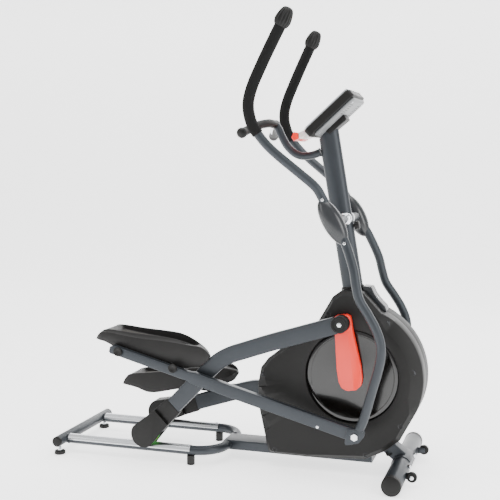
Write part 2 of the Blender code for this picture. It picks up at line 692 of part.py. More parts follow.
def make_arm(side):
    pieces = []
    path = [side.arm(p) for p in ARM_PATH]
    arm = plate(side.name("roller_arm"), ribbon(path, 0.030), side.layer(*ARM_LAYER), "frame_paint")
    boss = round_bar(side.name("arm_boss"), side.pin, 0.030, side.layer(0.1375, 0.1815), None)
    lump = strip(boot_line(0.055), boot_line(0.085), 0.029)
    block = plate(side.name("fork_block"), [side.arm(p) for p in lump], side.layer(0.1272, 0.1808), None)
    join(arm, boss, block)
    for number, layer in enumerate([(0.1272, 0.1305), (0.1775, 0.1808)]):
        tine = rounded(strip(boot_line(-0.014), boot_line(0.06), 0.014, 0.029), 0.01)
        fork = [side.arm(p) for p in tine]
        join(arm, plate(side.name("fork_plate_%d" % number), fork, side.layer(*layer), None))
    cut(arm, round_bar(side.name("fork_bore"), side.roller, ROLLER_AXLE_RADIUS + 0.0006,
                       side.layer(0.12, 0.19), None, 20))
    pieces.append(arm)

    cheek = hull_outline(circle(REST_ROLLER, 0.050, 36)
                         + strip(boot_line(0.02), boot_line(0.098), 0.044, 0.036))
    disc = plate(side.name("roller_cover"), [side.arm(p) for p in cheek], side.layer(0.1235, 0.1845),
                 "black_plastic")
    boot = strip(boot_line(0.05), boot_line(0.160), 0.040, 0.0345)
    join(disc, plate(side.name("boot"), [side.arm(p) for p in boot], side.layer(0.1382, 0.1718), None))
    mouth = strip(boot_line(0.06), boot_line(0.3), 0.0309)
    rail_slot = [(REST_ROLLER[0] + reach * cos(radians(a)), REST_ROLLER[1] + reach * sin(radians(a)))
                 for reach, a in [(0.080, 3.5), (0.080, 209.0), (0.16, 233.0), (0.16, 307.0)]]
    chamber = hull_outline(circle(REST_ROLLER, 0.0474, 36)
                           + strip(boot_line(0.02), boot_line(0.0945), 0.0405, 0.0325))
    cut(disc,
        plate(side.name("wheel_chamber"), [side.arm(p) for p in chamber], side.layer(0.1265, 0.1815), None),
        plate(side.name("boot_chamber"), [side.arm(p) for p in mouth], side.layer(0.1396, 0.1704), None),
        plate(side.name("rail_slot"), [side.arm(p) for p in rail_slot], side.layer(0.1265, 0.1815), None))
    pieces.append(disc)
    hang(pivot(side.name("arm_axis"), side.roller), *pieces)


SWING_PATH = [(0.395, 0.200, 0.903), (0.417, 0.200, 0.865), (0.441, 0.207, 0.815), (0.466, 0.222, 0.746),
              (0.477, 0.229, 0.690), (0.489, 0.231, 0.645), (0.518, 0.232, 0.598), (0.544, 0.2325, 0.552),
              (0.561, 0.233, 0.504), (0.563, 0.2335, 0.455), (0.553, 0.2335, 0.404), (0.539, 0.2335, 0.354),
              (0.511, 0.2335, 0.251), (0.494, 0.2335, 0.205)]
HANDLE_PATH = [(0.3837, 0.200, 0.9242), (0.352, 0.200, 0.983), (0.329, 0.205, 1.020), (0.280, 0.216, 1.063),
               (0.213, 0.235, 1.120), (0.174, 0.245, 1.157), (0.1415, 0.252, 1.197), (0.119, 0.256, 1.237),
               (0.109, 0.259, 1.294), (0.123, 0.261, 1.353), (0.158, 0.263, 1.428), (0.189, 0.264, 1.489),
               (0.223, 0.265, 1.553), (0.2425, 0.265, 1.599), (0.246, 0.265, 1.607)]
GRIP_FROM, GRIP_TO = 6, 12


def swung(side, points):
    path = []
    for x, y, z in points:
        moved = side.swing((x, z))
        path.append((moved[0], side.sign * y, moved[1]))
    return path


def make_swing(side):
    swing_axis = pivot(side.name("swing_axis"), SWING_PIVOT, side.sign * 0.2)
    sleeve = turned(side.name("pivot_sleeve"), SWING_PIVOT,
                    [(SLEEVE_BEARING_RADIUS, side.sign * 0.183), (SLEEVE_BEARING_RADIUS, side.sign * 0.217),
                     (0.0130, side.sign * 0.217), (0.0130, side.sign * 0.183)], "bright_metal", 24)
    lower = tube(side.name("swing_arm"), smooth(swung(side, SWING_PATH), 2), 0.016, "frame_paint")
    hub = round_bar(side.name("swing_hub"), SWING_PIVOT, 0.0225, side.layer(0.1832, 0.2168), None)
    corner = [(-0.026, 0.026), (0.036, 0.030), (0.033, 0.004), (0.014, -0.020), (-0.036, -0.033)]
    clevis = rounded([side.swing((SWING_END[0] + x, SWING_END[1] + z)) for x, z in corner], 0.008)
    join(lower, hub, plate(side.name("clevis"), clevis, side.layer(*CLEVIS_LAYER), None))
    cut(lower,
        round_bar(side.name("hub_bore"), SWING_PIVOT, SLEEVE_BEARING_RADIUS + 0.0006,
                  side.layer(0.17, 0.23), None),
        round_bar(side.name("clevis_bore"), side.swing_end, LINK_BOLT_RADIUS + 0.0006,
                  side.layer(0.21, 0.23), None))

    path = swung(side, HANDLE_PATH)
    handle = tube(side.name("handle_tube"), smooth(path, 2), 0.016, "frame_paint")
    grip_path = smooth(path, 2)[2 * GRIP_FROM:2 * GRIP_TO + 1]
    curve = bpy.data.curves.new(side.name("handle_grip"), "CURVE")
    curve.dimensions = "3D"
    curve.bevel_depth = 0.0171
    curve.bevel_resolution = 3
    add_spline(curve, grip_path, False)
    grip = mesh_of_curve(side.name("handle_grip"), curve, "foam")
    skin = grip.modifiers.new("skin", "SOLIDIFY")
    skin.thickness = 0.0027
    skin.offset = 1.0
    last, before = Vector(grip_path[-1]), Vector(grip_path[-2])
    along = (last - before).normalized()
    bm = bmesh.new()
    bmesh.ops.create_cone(bm, cap_ends=True, segments=24, radius1=0.0285, radius2=0.019, depth=0.063)
    place = Matrix.Translation(last + along * (0.0315 + GAP))
    bm.transform(place @ Vector((0, 0, 1)).rotation_difference(along).to_matrix().to_4x4())
    cap = from_bmesh(side.name("grip_cap"), bm, None)
    join(handle, cap)

    lens = bmesh.new()
    bmesh.ops.create_uvsphere(lens, u_segments=16, v_segments=10, radius=1.0)
    centre = side.swing((0.389, 0.903))
    tilt = radians(30.0) - side.swing_turn
    shape = Matrix.Diagonal((0.036, 0.0295, 0.086, 1.0))
    lens.transform(Matrix.Translation((centre[0], side.sign * 0.200, centre[1]))
                   @ Matrix.Rotation(-tilt, 4, "Y") @ shape)
    cover = from_bmesh(side.name("pivot_cover"), lens, "black_plastic")
    passage = swung(side, [HANDLE_PATH[2], HANDLE_PATH[1], SWING_PATH[0], SWING_PATH[1], SWING_PATH[2],
                           SWING_PATH[3]])
    cut(cover, tube(side.name("cover_passage"), smooth(passage, 2), 0.0176, None),
        round_bar(side.name("cover_hub_space"), SWING_PIVOT, 0.0236, side.layer(0.160, 0.2200), None))
    hang(swing_axis, sleeve, lower, handle, grip, cover)


def make_pedal(side):
    bar_axis = pivot(side.name("bar_axis"), side.swing_end, side.sign * 0.2)
    bolt = round_bar(side.name("link_bolt"), side.swing_end, LINK_BOLT_RADIUS, side.layer(0.183, 0.2250),
                     "bright_metal", 24)
    join(bolt, round_bar(side.name("link_bush"), side.swing_end, LINK_BUSH_RADIUS, side.layer(0.182, 0.2156),
                         None, 24),
         round_bar(side.name("link_bolt_head"), side.swing_end, 0.0125, side.layer(0.2230, 0.2290), None, 6))
    tilt = heading(SWING_END, CROSS_PIVOT)

    def along_bar(a, up):
        c, s = cos(tilt), sin(tilt)
        return side.bar((SWING_END[0] + a * c + up * s, SWING_END[1] + a * s - up * c))

    nose = [(-0.0215 * cos(t), 0.0215 * sin(t)) for t in [radians(-90 + 22.5 * i) for i in range(9)]]
    outline = nose + [(0.612, 0.0215), (0.628, 0.0165), (0.938, 0.0165), (0.948, 0.008), (0.948, -0.012),
                      (0.940, -0.0165), (0.628, -0.0165), (0.612, -0.0215)]
    link = plate(side.name("pedal_bar"), [along_bar(*p) for p in outline], side.layer(*BAR_LAYER),
                 "frame_paint", [circle(side.swing_end, LINK_BUSH_RADIUS + 0.0006)])
    join(link, round_bar(side.name("cross_boss"), side.bar(CROSS_PIVOT), 0.016,
                         side.layer(0.1712, 0.190), None))

    skirt = [(-0.505, 0.455), (-0.470, 0.480), (-0.350, 0.464), (-0.240, 0.458), (-0.160, 0.448),
             (-0.100, 0.446), (-0.068, 0.428), (-0.062, 0.408), (-0.078, 0.386), (-0.105, 0.368),
             (-0.296, 0.362), (-0.350, 0.384), (-0.420, 0.430)]
    tub = [(-0.512, 0.456), (-0.462, 0.490), (-0.363, 0.478), (-0.268, 0.472), (-0.205, 0.466),
           (-0.148, 0.452), (-0.098, 0.434), (-0.072, 0.416), (-0.080, 0.404), (-0.105, 0.396),
           (-0.400, 0.396), (-0.458, 0.428)]
    pedal = plate(side.name("pedal"), [side.bar(p) for p in skirt], side.layer(0.1725, 0.1845),
                  "black_plastic")
    join(pedal, plate(side.name("pedal_tub"), [side.bar(p) for p in tub], side.layer(0.050, 0.1727), None))
    well = [(-0.452, 0.520), (-0.452, 0.470), (-0.360, 0.456), (-0.150, 0.430), (-0.118, 0.440),
            (-0.118, 0.520)]
    cut(pedal, plate(side.name("tread_well"), [side.bar(p) for p in well], side.layer(0.060, 0.166), None))
    plan = [(-0.53, 0.062), (-0.50, 0.052), (-0.26, 0.052), (-0.20, 0.066), (-0.155, 0.088), (-0.118, 0.112),
            (-0.085, 0.135), (-0.064, 0.158), (-0.055, 0.19), (-0.53, 0.19)]
    curve = bpy.data.curves.new(side.name("pedal_plan"), "CURVE")
    curve.dimensions = "2D"
    curve.fill_mode = "BOTH"
    curve.extrude = 0.4
    shifted = [(side.bar((x, 0.43))[0], side.sign * y) for x, y in plan]
    add_spline(curve, shifted, True)
    combine(pedal, "INTERSECT", mesh_of_curve(side.name("pedal_plan"), curve, None,
                                              Matrix.Translation((0, 0, 0.5))))
    hang(bar_axis, bolt, link, pedal)


make_base()
make_posts()
make_console()
make_drive()
for this_side in SIDES:
    make_shroud(this_side)
    make_roller(this_side)
    make_arm(this_side)
    make_swing(this_side)
    make_pedal(this_side)
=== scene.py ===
from math import acos, atan2, cos, hypot, pi, radians, sin, sqrt

import bmesh
import bpy
from mathutils import Matrix, Vector


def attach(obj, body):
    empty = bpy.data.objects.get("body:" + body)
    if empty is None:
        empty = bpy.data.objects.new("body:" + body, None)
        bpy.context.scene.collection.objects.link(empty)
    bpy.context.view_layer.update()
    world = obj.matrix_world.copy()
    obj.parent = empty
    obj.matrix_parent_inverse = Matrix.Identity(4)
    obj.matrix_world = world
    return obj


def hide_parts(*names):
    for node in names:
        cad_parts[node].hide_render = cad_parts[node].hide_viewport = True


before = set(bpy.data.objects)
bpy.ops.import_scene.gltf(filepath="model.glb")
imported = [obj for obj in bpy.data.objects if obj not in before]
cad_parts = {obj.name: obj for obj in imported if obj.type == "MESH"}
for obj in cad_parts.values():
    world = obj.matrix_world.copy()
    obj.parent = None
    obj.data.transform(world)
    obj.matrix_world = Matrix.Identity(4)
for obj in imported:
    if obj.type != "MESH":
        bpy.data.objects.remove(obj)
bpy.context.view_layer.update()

# ---------------------------------------------------------------- camera
# A long lens stands low at the trainer's right side, a little towards the console end.

camera = bpy.data.objects.new("camera", bpy.data.cameras.new("camera"))
camera.data.lens = 67.69
camera.data.sensor_width = 36.0
camera.location = (1.079, -3.2956, 1.0997)
camera.rotation_euler = (radians(84.721), 0.0, radians(17.6))
bpy.context.scene.collection.objects.link(camera)
bpy.context.scene.camera = camera

# ---------------------------------------------------------------- studio
# A seamless white paper sweep: flat under the trainer, curving up far behind it.
# It is lit by a broad overhead softbox, two tall ones at the corners and a low one behind.


def linear(code):
    """Linear RGBA from an sRGB hex code."""
    parts = [int(code[i:i + 2], 16) / 255 for i in (1, 3, 5)]
    return (*[p / 12.92 if p <= 0.04045 else ((p + 0.055) / 1.055) ** 2.4 for p in parts], 1.0)


def add_node(tree, kind, settings=None, links=None):
    """A node with its settings; links maps an input to a value or to another node's output."""
    made = tree.nodes.new(kind)
    for key, value in (settings or {}).items():
        setattr(made, key, value)
    for key, value in (links or {}).items():
        if isinstance(value, bpy.types.NodeSocket):
            tree.links.new(value, made.inputs[key])
        else:
            made.inputs[key].default_value = value
    return made


def new_finish(name, colour, roughness, metallic=0.0, **sockets):
    """A material with one Principled shader and the piece's own coordinates."""
    made = bpy.data.materials.new(name)
    made.use_nodes = True
    tree = made.node_tree
    shader = tree.nodes["Principled BSDF"]
    shader.inputs["Base Color"].default_value = linear(colour)
    shader.inputs["Roughness"].default_value = roughness
    shader.inputs["Metallic"].default_value = metallic
    for key, value in sockets.items():
        shader.inputs[key.replace("_", " ")].default_value = value
    place = add_node(tree, "ShaderNodeTexCoord").outputs["Object"]
    return made, tree, shader, place


def vary(tree, shader, place, size, dark, light, rough):
    """Slow drift of colour and roughness over patches of the given size in metres."""
    cloud = add_node(tree, "ShaderNodeTexNoise", {}, {"Vector": place, "Scale": 1 / size, "Detail": 4.0})
    tone = add_node(tree, "ShaderNodeMix", {"data_type": "RGBA"},
                    {0: cloud.outputs["Fac"], 6: linear(dark), 7: linear(light)})
    tree.links.new(tone.outputs[2], shader.inputs["Base Color"])
    span = add_node(tree, "ShaderNodeMapRange", {}, {0: cloud.outputs["Fac"], 3: rough[0], 4: rough[1]})
    tree.links.new(span.outputs[0], shader.inputs["Roughness"])
    return tone, cloud


def emboss(tree, shader, height, depth, strength=1.0):
    """Surface relief of a depth in metres from a height output."""
    relief = add_node(tree, "ShaderNodeBump", {}, {"Height": height, "Distance": depth, "Strength": strength})
    tree.links.new(relief.outputs[0], shader.inputs["Normal"])


paper, tree, shader, place = new_finish("white_paper_sweep", "#ffffff", 0.9, 0.0,
                                        Emission_Color=linear("#ffffff"), Emission_Strength=1.6)
fibre = add_node(tree, "ShaderNodeTexNoise", {}, {"Vector": place, "Scale": 700.0})
emboss(tree, shader, fibre.outputs["Fac"], 0.0001)
bm = bmesh.new()
rows = [(-6.0, 0.0), (3.5, 0.0)]
rows += [(3.5 + 2.5 * sin(radians(a)), 2.5 - 2.5 * cos(radians(a))) for a in range(10, 91, 10)]
rows.append((6.0, 8.0))
lines = [[bm.verts.new((x, y, z)) for x in (-9.0, 9.0)] for y, z in rows]
for near, far in zip(lines, lines[1:]):
    bm.faces.new((near[0], near[1], far[1], far[0]))
mesh = bpy.data.meshes.new("paper_sweep")
bm.to_mesh(mesh)
bm.free()
mesh.shade_smooth()
mesh.materials.append(paper)
sweep_sheet = bpy.data.objects.new("paper_sweep", mesh)
bpy.context.scene.collection.objects.link(sweep_sheet)

for name, spot, size, power in [("overhead", (0.1, -0.4, 3.6), (3.2, 2.4), 105.0),
                                ("front_corner", (3.4, -1.6, 1.9), (1.2, 2.6), 75.0),
                                ("rear_corner", (-3.2, -2.4, 2.0), (1.4, 2.4), 34.0),
                                ("back_light", (0.6, 2.9, 2.6), (2.6, 1.4), 40.0)]:
    lamp = bpy.data.lights.new(name, "AREA")
    lamp.shape = "RECTANGLE"
    lamp.size, lamp.size_y = size
    lamp.energy = power
    holder = bpy.data.objects.new(name, lamp)
    holder.location = spot
    holder.rotation_euler = (Vector((0.05, 0.0, 0.6)) - Vector(spot)).to_track_quat("-Z", "Y").to_euler()
    bpy.context.scene.collection.objects.link(holder)
world = bpy.data.worlds.new("studio_air")
bpy.context.scene.world = world
world.use_nodes = True
world.node_tree.nodes["Background"].inputs["Color"].default_value = linear("#ffffff")
world.node_tree.nodes["Background"].inputs["Strength"].default_value = 1.0

# ---------------------------------------------------------------- rails and centre beam
# Two steel tubes run back from the flat rectangular centre beam and are butt-welded to it
# and to the rear crossbar. All are powder coated in a satin slate grey.

# Powder coat: thermoset polyester over steel, a satin skin with a faint orange peel.
slate_coat, tree, shader, place = new_finish("slate_powder_coat", "#2a2e32", 0.4, 0.45)
vary(tree, shader, place, 0.12, "#272b2f", "#303439", (0.34, 0.46))
peel = add_node(tree, "ShaderNodeTexNoise", {}, {"Vector": place, "Scale": 420.0, "Detail": 2.0})
emboss(tree, shader, peel.outputs["Fac"], 0.00012, 0.35)

# Injection-moulded ABS with a fine spark-eroded grain, which spreads every highlight.
black_abs, tree, shader, place = new_finish("black_grained_abs", "#0b0b0a", 0.48, 0.0,
                                            Specular_IOR_Level=0.25)
vary(tree, shader, place, 0.09, "#080807", "#0f0e0d", (0.42, 0.56))
grain = add_node(tree, "ShaderNodeTexVoronoi", {}, {"Vector": place, "Scale": 900.0})
emboss(tree, shader, grain.outputs["Distance"], 0.00015, 0.3)


def circle(radius, sides=32, other=None):
    """Ring of (across, up) offsets, an ellipse when the other half axis is given."""
    turns = [2 * pi * i / sides for i in range(sides)]
    return [(radius * cos(t), (other or radius) * sin(t)) for t in turns]


def rounded(corners, radius, steps=4):
    """Closed outline whose corners are rounded."""
    outline = []
    for i, corner in enumerate(corners):
        here = Vector(corner)
        before = Vector(corners[i - 1]) - here
        after = Vector(corners[(i + 1) % len(corners)]) - here
        half = before.angle(after) / 2
        wanted = radius / max(abs(sin(half) / cos(half)), 0.001)
        reach = min(wanted, before.length * 0.48, after.length * 0.48)
        start = here + before.normalized() * reach
        end = here + after.normalized() * reach
        for k in range(steps + 1):
            t = k / steps
            outline.append(tuple((1 - t) ** 2 * start + 2 * t * (1 - t) * here + t ** 2 * end))
    return outline


def smooth(points, per_span=6):
    """Catmull-Rom curve through the points."""
    vectors = [Vector(p) for p in points]
    ends = [2 * vectors[0] - vectors[1]] + vectors + [2 * vectors[-1] - vectors[-2]]
    path = []
    for a, b, c, d in zip(ends, ends[1:], ends[2:], ends[3:]):
        for i in range(per_span):
            t = i / per_span
            path.append(0.5 * (2 * b + (c - a) * t + (2 * a - 5 * b + 4 * c - d) * t ** 2
                               + (3 * b - a - 3 * c + d) * t ** 3))
    path.append(vectors[-1])
    return path


def sweep(path, ring, scales=None, closed=False, across=(0, 1, 0)):
    """A ring of (across, up) offsets carried along a path, capped unless the path is closed."""
    bm = bmesh.new()
    points = [Vector(p) for p in path]
    normal = Vector(across)
    if abs((points[1] - points[0]).normalized().dot(normal)) > 0.99:
        normal = Vector((1, 0, 0))
    rows = []
    for i, here in enumerate(points):
        before = points[i - 1] if closed or i else here
        after = points[(i + 1) % len(points)] if closed or i + 1 < len(points) else here
        along = (after - before).normalized()
        normal = (normal - along * normal.dot(along)).normalized()
        up = along.cross(normal)
        scale = scales[i] if scales else 1.0
        rows.append([bm.verts.new(here + (normal * u + up * v) * scale) for u, v in ring])
    pairs = list(zip(rows, rows[1:])) + ([(rows[-1], rows[0])] if closed else [])
    for one, two in pairs:
        for k in range(len(ring)):
            bm.faces.new((one[k - 1], one[k], two[k], two[k - 1]))
    if not closed:
        bm.faces.new(rows[0])
        bm.faces.new(rows[-1])
    bmesh.ops.recalc_face_normals(bm, faces=bm.faces)
    return bm


def tube(path, radius, sides=32, edge=0.0012):
    """Round tube along a path with softly broken end edges."""
    points = [Vector(p) for p in path]
    start = (points[1] - points[0]).normalized()
    finish = (points[-2] - points[-1]).normalized()
    points = [points[0], points[0] + start * edge * 0.3, points[0] + start * edge] + points[1:-1] + \
        [points[-1] + finish * edge, points[-1] + finish * edge * 0.3, points[-1]]
    scales = [1 - edge / radius, 1 - 0.3 * edge / radius] + [1.0] * (len(points) - 4)
    scales += [1 - 0.3 * edge / radius, 1 - edge / radius]
    return sweep(points, circle(radius, sides), scales)


def lathe(profile, centre, axis, steps=48):
    """Shape turned about an axis: (radius, along) points, a loop unless it starts and ends at 0."""
    bm = bmesh.new()
    turn = Vector((0, 0, 1)).rotation_difference(Vector(axis)).to_matrix()
    rows = []
    for radius, along in profile:
        count = steps if radius > 0 else 1
        rows.append([bm.verts.new(Vector(centre) + turn @ Vector((
            radius * cos(2 * pi * k / steps), radius * sin(2 * pi * k / steps),
            along))) for k in range(count)])
    loop = profile[0][0] > 0 and profile[-1][0] > 0
    for one, two in list(zip(rows, rows[1:])) + ([(rows[-1], rows[0])] if loop else []):
        for k in range(steps):
            if len(one) == 1:
                bm.faces.new((one[0], two[k], two[k - 1]))
            elif len(two) == 1:
                bm.faces.new((one[k - 1], one[k], two[0]))
            else:
                bm.faces.new((one[k - 1], one[k], two[k], two[k - 1]))
    bmesh.ops.recalc_face_normals(bm, faces=bm.faces)
    return bm


def slab(outline, low, high, edge=0.001, steps=2):
    """Plate from an X, Z outline between two Y values, its rims rounded over."""
    bm = bmesh.new()
    ends = [[bm.verts.new((x, y, z)) for x, z in outline] for y in sorted((low, high))]
    for side_row in ends:
        bm.faces.new(side_row)
    for k in range(len(outline)):
        bm.faces.new((ends[0][k - 1], ends[0][k], ends[1][k], ends[1][k - 1]))
    bmesh.ops.recalc_face_normals(bm, faces=bm.faces)
    if edge:
        rims = [e for e in bm.edges if any(len(f.verts) == len(outline) for f in e.link_faces)]
        bmesh.ops.bevel(bm, geom=rims, offset=edge, segments=steps, profile=0.5, affect="EDGES",
                        clamp_overlap=True)
    return bm


def merged(*parts):
    """Several meshes laid into one."""
    whole = bmesh.new()
    for part in parts:
        mesh = bpy.data.meshes.new("part")
        part.to_mesh(mesh)
        part.free()
        whole.from_mesh(mesh)
        bpy.data.meshes.remove(mesh)
    return whole


def piece(name, bm, finish, body, nodes=(), sharp=38.0):
    """Link a finished mesh, ride it on its body, and hide the CAD nodes it stands for."""
    mesh = bpy.data.meshes.new(name)
    bm.to_mesh(mesh)
    bm.free()
    mesh.shade_smooth()
    mesh.set_sharp_from_angle(angle=radians(sharp))
    mesh.materials.append(finish)
    made = bpy.data.objects.new(name, mesh)
    bpy.context.scene.collection.objects.link(made)
    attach(made, body)
    if nodes:
        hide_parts(*nodes)
    return made


RAIL_Y, RAIL_Z, RAIL_RADIUS = 0.154, 0.0525, 0.0175
REAR_X, RAIL_FRONT_X = -0.662, -0.14
BEAM_X = (-0.0535, 0.505)
BEAM_HALF_WIDTH, BEAM_MIDDLE_Z, BEAM_HALF_HEIGHT = 0.05, 0.052, 0.0175
SIDE_SIGNS = {"r": -1, "l": 1}


def weld_bead(centre, axis, radius):
    """Stacked-coin weld bead round a tube's foot."""
    turn = Vector((0, 0, 1)).rotation_difference(Vector(axis)).to_matrix()
    coins = 44
    path, scales = [], []
    for i in range(coins * 4):
        a = 2 * pi * i / (coins * 4)
        path.append(Vector(centre) + turn @ Vector((radius * cos(a), radius * sin(a), 0)))
        scales.append(1.0 + 0.22 * sin(coins * a))
    return sweep(path, circle(0.0016, 8), scales, closed=True, across=axis)


for tag, sign in SIDE_SIGNS.items():
    bend = RAIL_Y - BEAM_HALF_WIDTH - 0.006
    path = [(REAR_X + 0.004, sign * RAIL_Y, RAIL_Z), (REAR_X + 0.2, sign * RAIL_Y, RAIL_Z)]
    for i in range(19):
        a = i / 18 * pi / 2
        path.append((RAIL_FRONT_X + bend * sin(a), sign * (RAIL_Y - bend + bend * cos(a)), RAIL_Z))
    path.append((path[-1][0], sign * (BEAM_HALF_WIDTH - 0.002), RAIL_Z))
    rail = merged(tube(path, RAIL_RADIUS), weld_bead((REAR_X + 0.0205, sign * RAIL_Y, RAIL_Z), (1, 0, 0),
                                                     0.018),
                  weld_bead((path[-1][0], sign * 0.0505, RAIL_Z), (0, 1, 0), 0.0175))
    piece("rail_" + tag, rail, slate_coat, "root", ["rail_tube_" + tag])

beam_ring = rounded([(BEAM_HALF_WIDTH, -BEAM_HALF_HEIGHT), (BEAM_HALF_WIDTH, BEAM_HALF_HEIGHT),
                     (-BEAM_HALF_WIDTH, BEAM_HALF_HEIGHT), (-BEAM_HALF_WIDTH, -BEAM_HALF_HEIGHT)], 0.005)
beam_line = [(x, 0, BEAM_MIDDLE_Z) for x in (BEAM_X[0], BEAM_X[0] + 0.001, BEAM_X[0] + 0.2, BEAM_X[1])]
piece("beam", sweep(beam_line, beam_ring, [0.985, 1, 1, 1]), slate_coat, "root",
      ["center_beam"])
plug_ring = rounded([(0.044, -0.0125), (0.044, 0.0125), (-0.044, 0.0125), (-0.044, -0.0125)], 0.004)
plug_line = [(BEAM_X[0] - x, 0, BEAM_MIDDLE_Z) for x in (-0.002, 0.0012, 0.0018)]
piece("beam_plug", sweep(plug_line, plug_ring, [1, 1, 0.95]), black_abs, "root")

crossbar = tube([(REAR_X, y, 0.0535) for y in (-0.2145, 0.0, 0.2145)], 0.0195)
piece("rear_bar", crossbar, slate_coat, "root", ["rear_crossbar"])
for tag, sign in SIDE_SIGNS.items():
    cap = lathe([(0.0, 0.0036), (0.013, 0.0034), (0.0175, 0.0026), (0.0195, 0.0008), (0.0195, -0.004),
                 (0.0, -0.004)], (REAR_X, sign * 0.2146, 0.0535), (0, sign, 0))
    piece("rear_bar_cap_" + tag, cap, black_abs, "root")

# ---------------------------------------------------------------- running sleeves
# Half-round bright aluminium strips are laid over the top of each rail for the roller to run on.
# Each is held by one small countersunk screw at its front end.

# Drawn aluminium, brushed lengthwise: the fine lines stretch highlights along the rail.
drawn_aluminium, tree, shader, place = new_finish("drawn_aluminium", "#d3d5d8", 0.28, 1.0)
stretch = add_node(tree, "ShaderNodeMapping", {}, {"Vector": place, "Scale": (3.0, 900.0, 900.0)})
lines = add_node(tree, "ShaderNodeTexNoise", {}, {"Vector": stretch.outputs[0], "Scale": 1.0, "Detail": 3.0})
span = add_node(tree, "ShaderNodeMapRange", {}, {0: lines.outputs["Fac"], 3: 0.2, 4: 0.36})
tree.links.new(span.outputs[0], shader.inputs["Roughness"])
emboss(tree, shader, lines.outputs["Fac"], 0.00003, 0.3)

# Zinc-plated and chromed steel fasteners: bright, slightly blue, with handling haze.
bright_steel, tree, shader, place = new_finish("bright_plated_steel", "#d9dbde", 0.16, 1.0)
vary(tree, shader, place, 0.004, "#cfd2d6", "#e4e6e8", (0.1, 0.24))


def screw_tree():
    """Geometry Nodes: one socket-headed screw on every point, facing the point's direction."""
    made = bpy.data.node_groups.new("socket_screws", "GeometryNodeTree")
    made.interface.new_socket("Geometry", in_out="INPUT", socket_type="NodeSocketGeometry")
    for label, value in [("Head Radius", 0.005), ("Head Height", 0.002), ("Socket Share", 0.45)]:
        socket = made.interface.new_socket(label, in_out="INPUT", socket_type="NodeSocketFloat")
        socket.default_value = value
    sides = made.interface.new_socket("Sides", in_out="INPUT", socket_type="NodeSocketInt")
    sides.default_value = 24
    made.interface.new_socket("Finish", in_out="INPUT", socket_type="NodeSocketMaterial")
    made.interface.new_socket("Geometry", in_out="OUTPUT", socket_type="NodeSocketGeometry")
    given = add_node(made, "NodeGroupInput").outputs
    head = add_node(made, "GeometryNodeMeshCylinder", {"fill_type": "NGON"},
                    {"Vertices": given["Sides"], "Radius": given["Head Radius"],
                     "Depth": given["Head Height"]})
    top, mesh = head.outputs["Top"], head.outputs["Mesh"]
    sink = add_node(made, "ShaderNodeMath", {"operation": "MULTIPLY"}, {0: given["Head Height"], 1: -0.7})
    lift = add_node(made, "ShaderNodeMath", {"operation": "MULTIPLY"}, {0: given["Head Height"], 1: 0.35})
    for offset, share in [(lift.outputs[0], 0.8), (0.0, given["Socket Share"]), (sink.outputs[0], 0.9)]:
        step = add_node(made, "GeometryNodeExtrudeMesh", {"mode": "FACES"},
                        {"Mesh": mesh, "Selection": top, "Offset Scale": offset, "Individual": False})
        top = step.outputs["Top"]
        shrink = add_node(made, "GeometryNodeScaleElements", {"domain": "FACE"},
                          {"Geometry": step.outputs["Mesh"], "Selection": top, "Scale": share})
        mesh = shrink.outputs["Geometry"]
    facing = add_node(made, "GeometryNodeInputNamedAttribute", {"data_type": "FLOAT_VECTOR"},
                      {"Name": "facing"})
    turn = add_node(made, "FunctionNodeAlignRotationToVector", {"axis": "Z"},
                    {"Vector": facing.outputs["Attribute"]})
    spread = add_node(made, "GeometryNodeInstanceOnPoints", {},
                      {"Points": given["Geometry"], "Instance": mesh, "Rotation": turn.outputs[0]})
    real = add_node(made, "GeometryNodeRealizeInstances", {}, {"Geometry": spread.outputs[0]})
    painted = add_node(made, "GeometryNodeSetMaterial", {},
                       {"Geometry": real.outputs[0], "Material": given["Finish"]})
    add_node(made, "NodeGroupOutput", {}, {"Geometry": painted.outputs[0]})
    return made


SCREWS = screw_tree()


def grown(name, points, facing, edges, tree, settings):
    """Plain bmesh of a Geometry Nodes tree, run on points that carry a direction."""
    seed = bpy.data.meshes.new(name)
    seed.from_pydata([tuple(p) for p in points], edges, [])
    if facing:
        direction = seed.attributes.new("facing", "FLOAT_VECTOR", "POINT")
        direction.data.foreach_set("vector", [c for v in facing for c in v])
    holder = bpy.data.objects.new(name + "_seed", seed)
    bpy.context.scene.collection.objects.link(holder)
    step = holder.modifiers.new("grow", "NODES")
    step.node_group = tree
    for item in tree.interface.items_tree:
        if item.in_out == "INPUT" and item.name in settings:
            step[item.identifier] = settings[item.name]
    bpy.context.view_layer.update()
    graph = bpy.context.evaluated_depsgraph_get()
    plain = bpy.data.meshes.new_from_object(holder.evaluated_get(graph))
    bpy.data.objects.remove(holder)
    bm = bmesh.new()
    bm.from_mesh(plain)
    bpy.data.meshes.remove(plain)
    return bm


def screws(name, spots, radius, height, finish, body, share=0.45, sides=24):
    """A group of like screws as one piece: each spot is (point, facing direction)."""
    settings = {"Head Radius": radius, "Head Height": height, "Socket Share": share, "Sides": sides,
                "Finish": finish}
    bm = grown(name, [s[0] for s in spots], [s[1] for s in spots], [], SCREWS, settings)
    return piece(name, bm, finish, body)


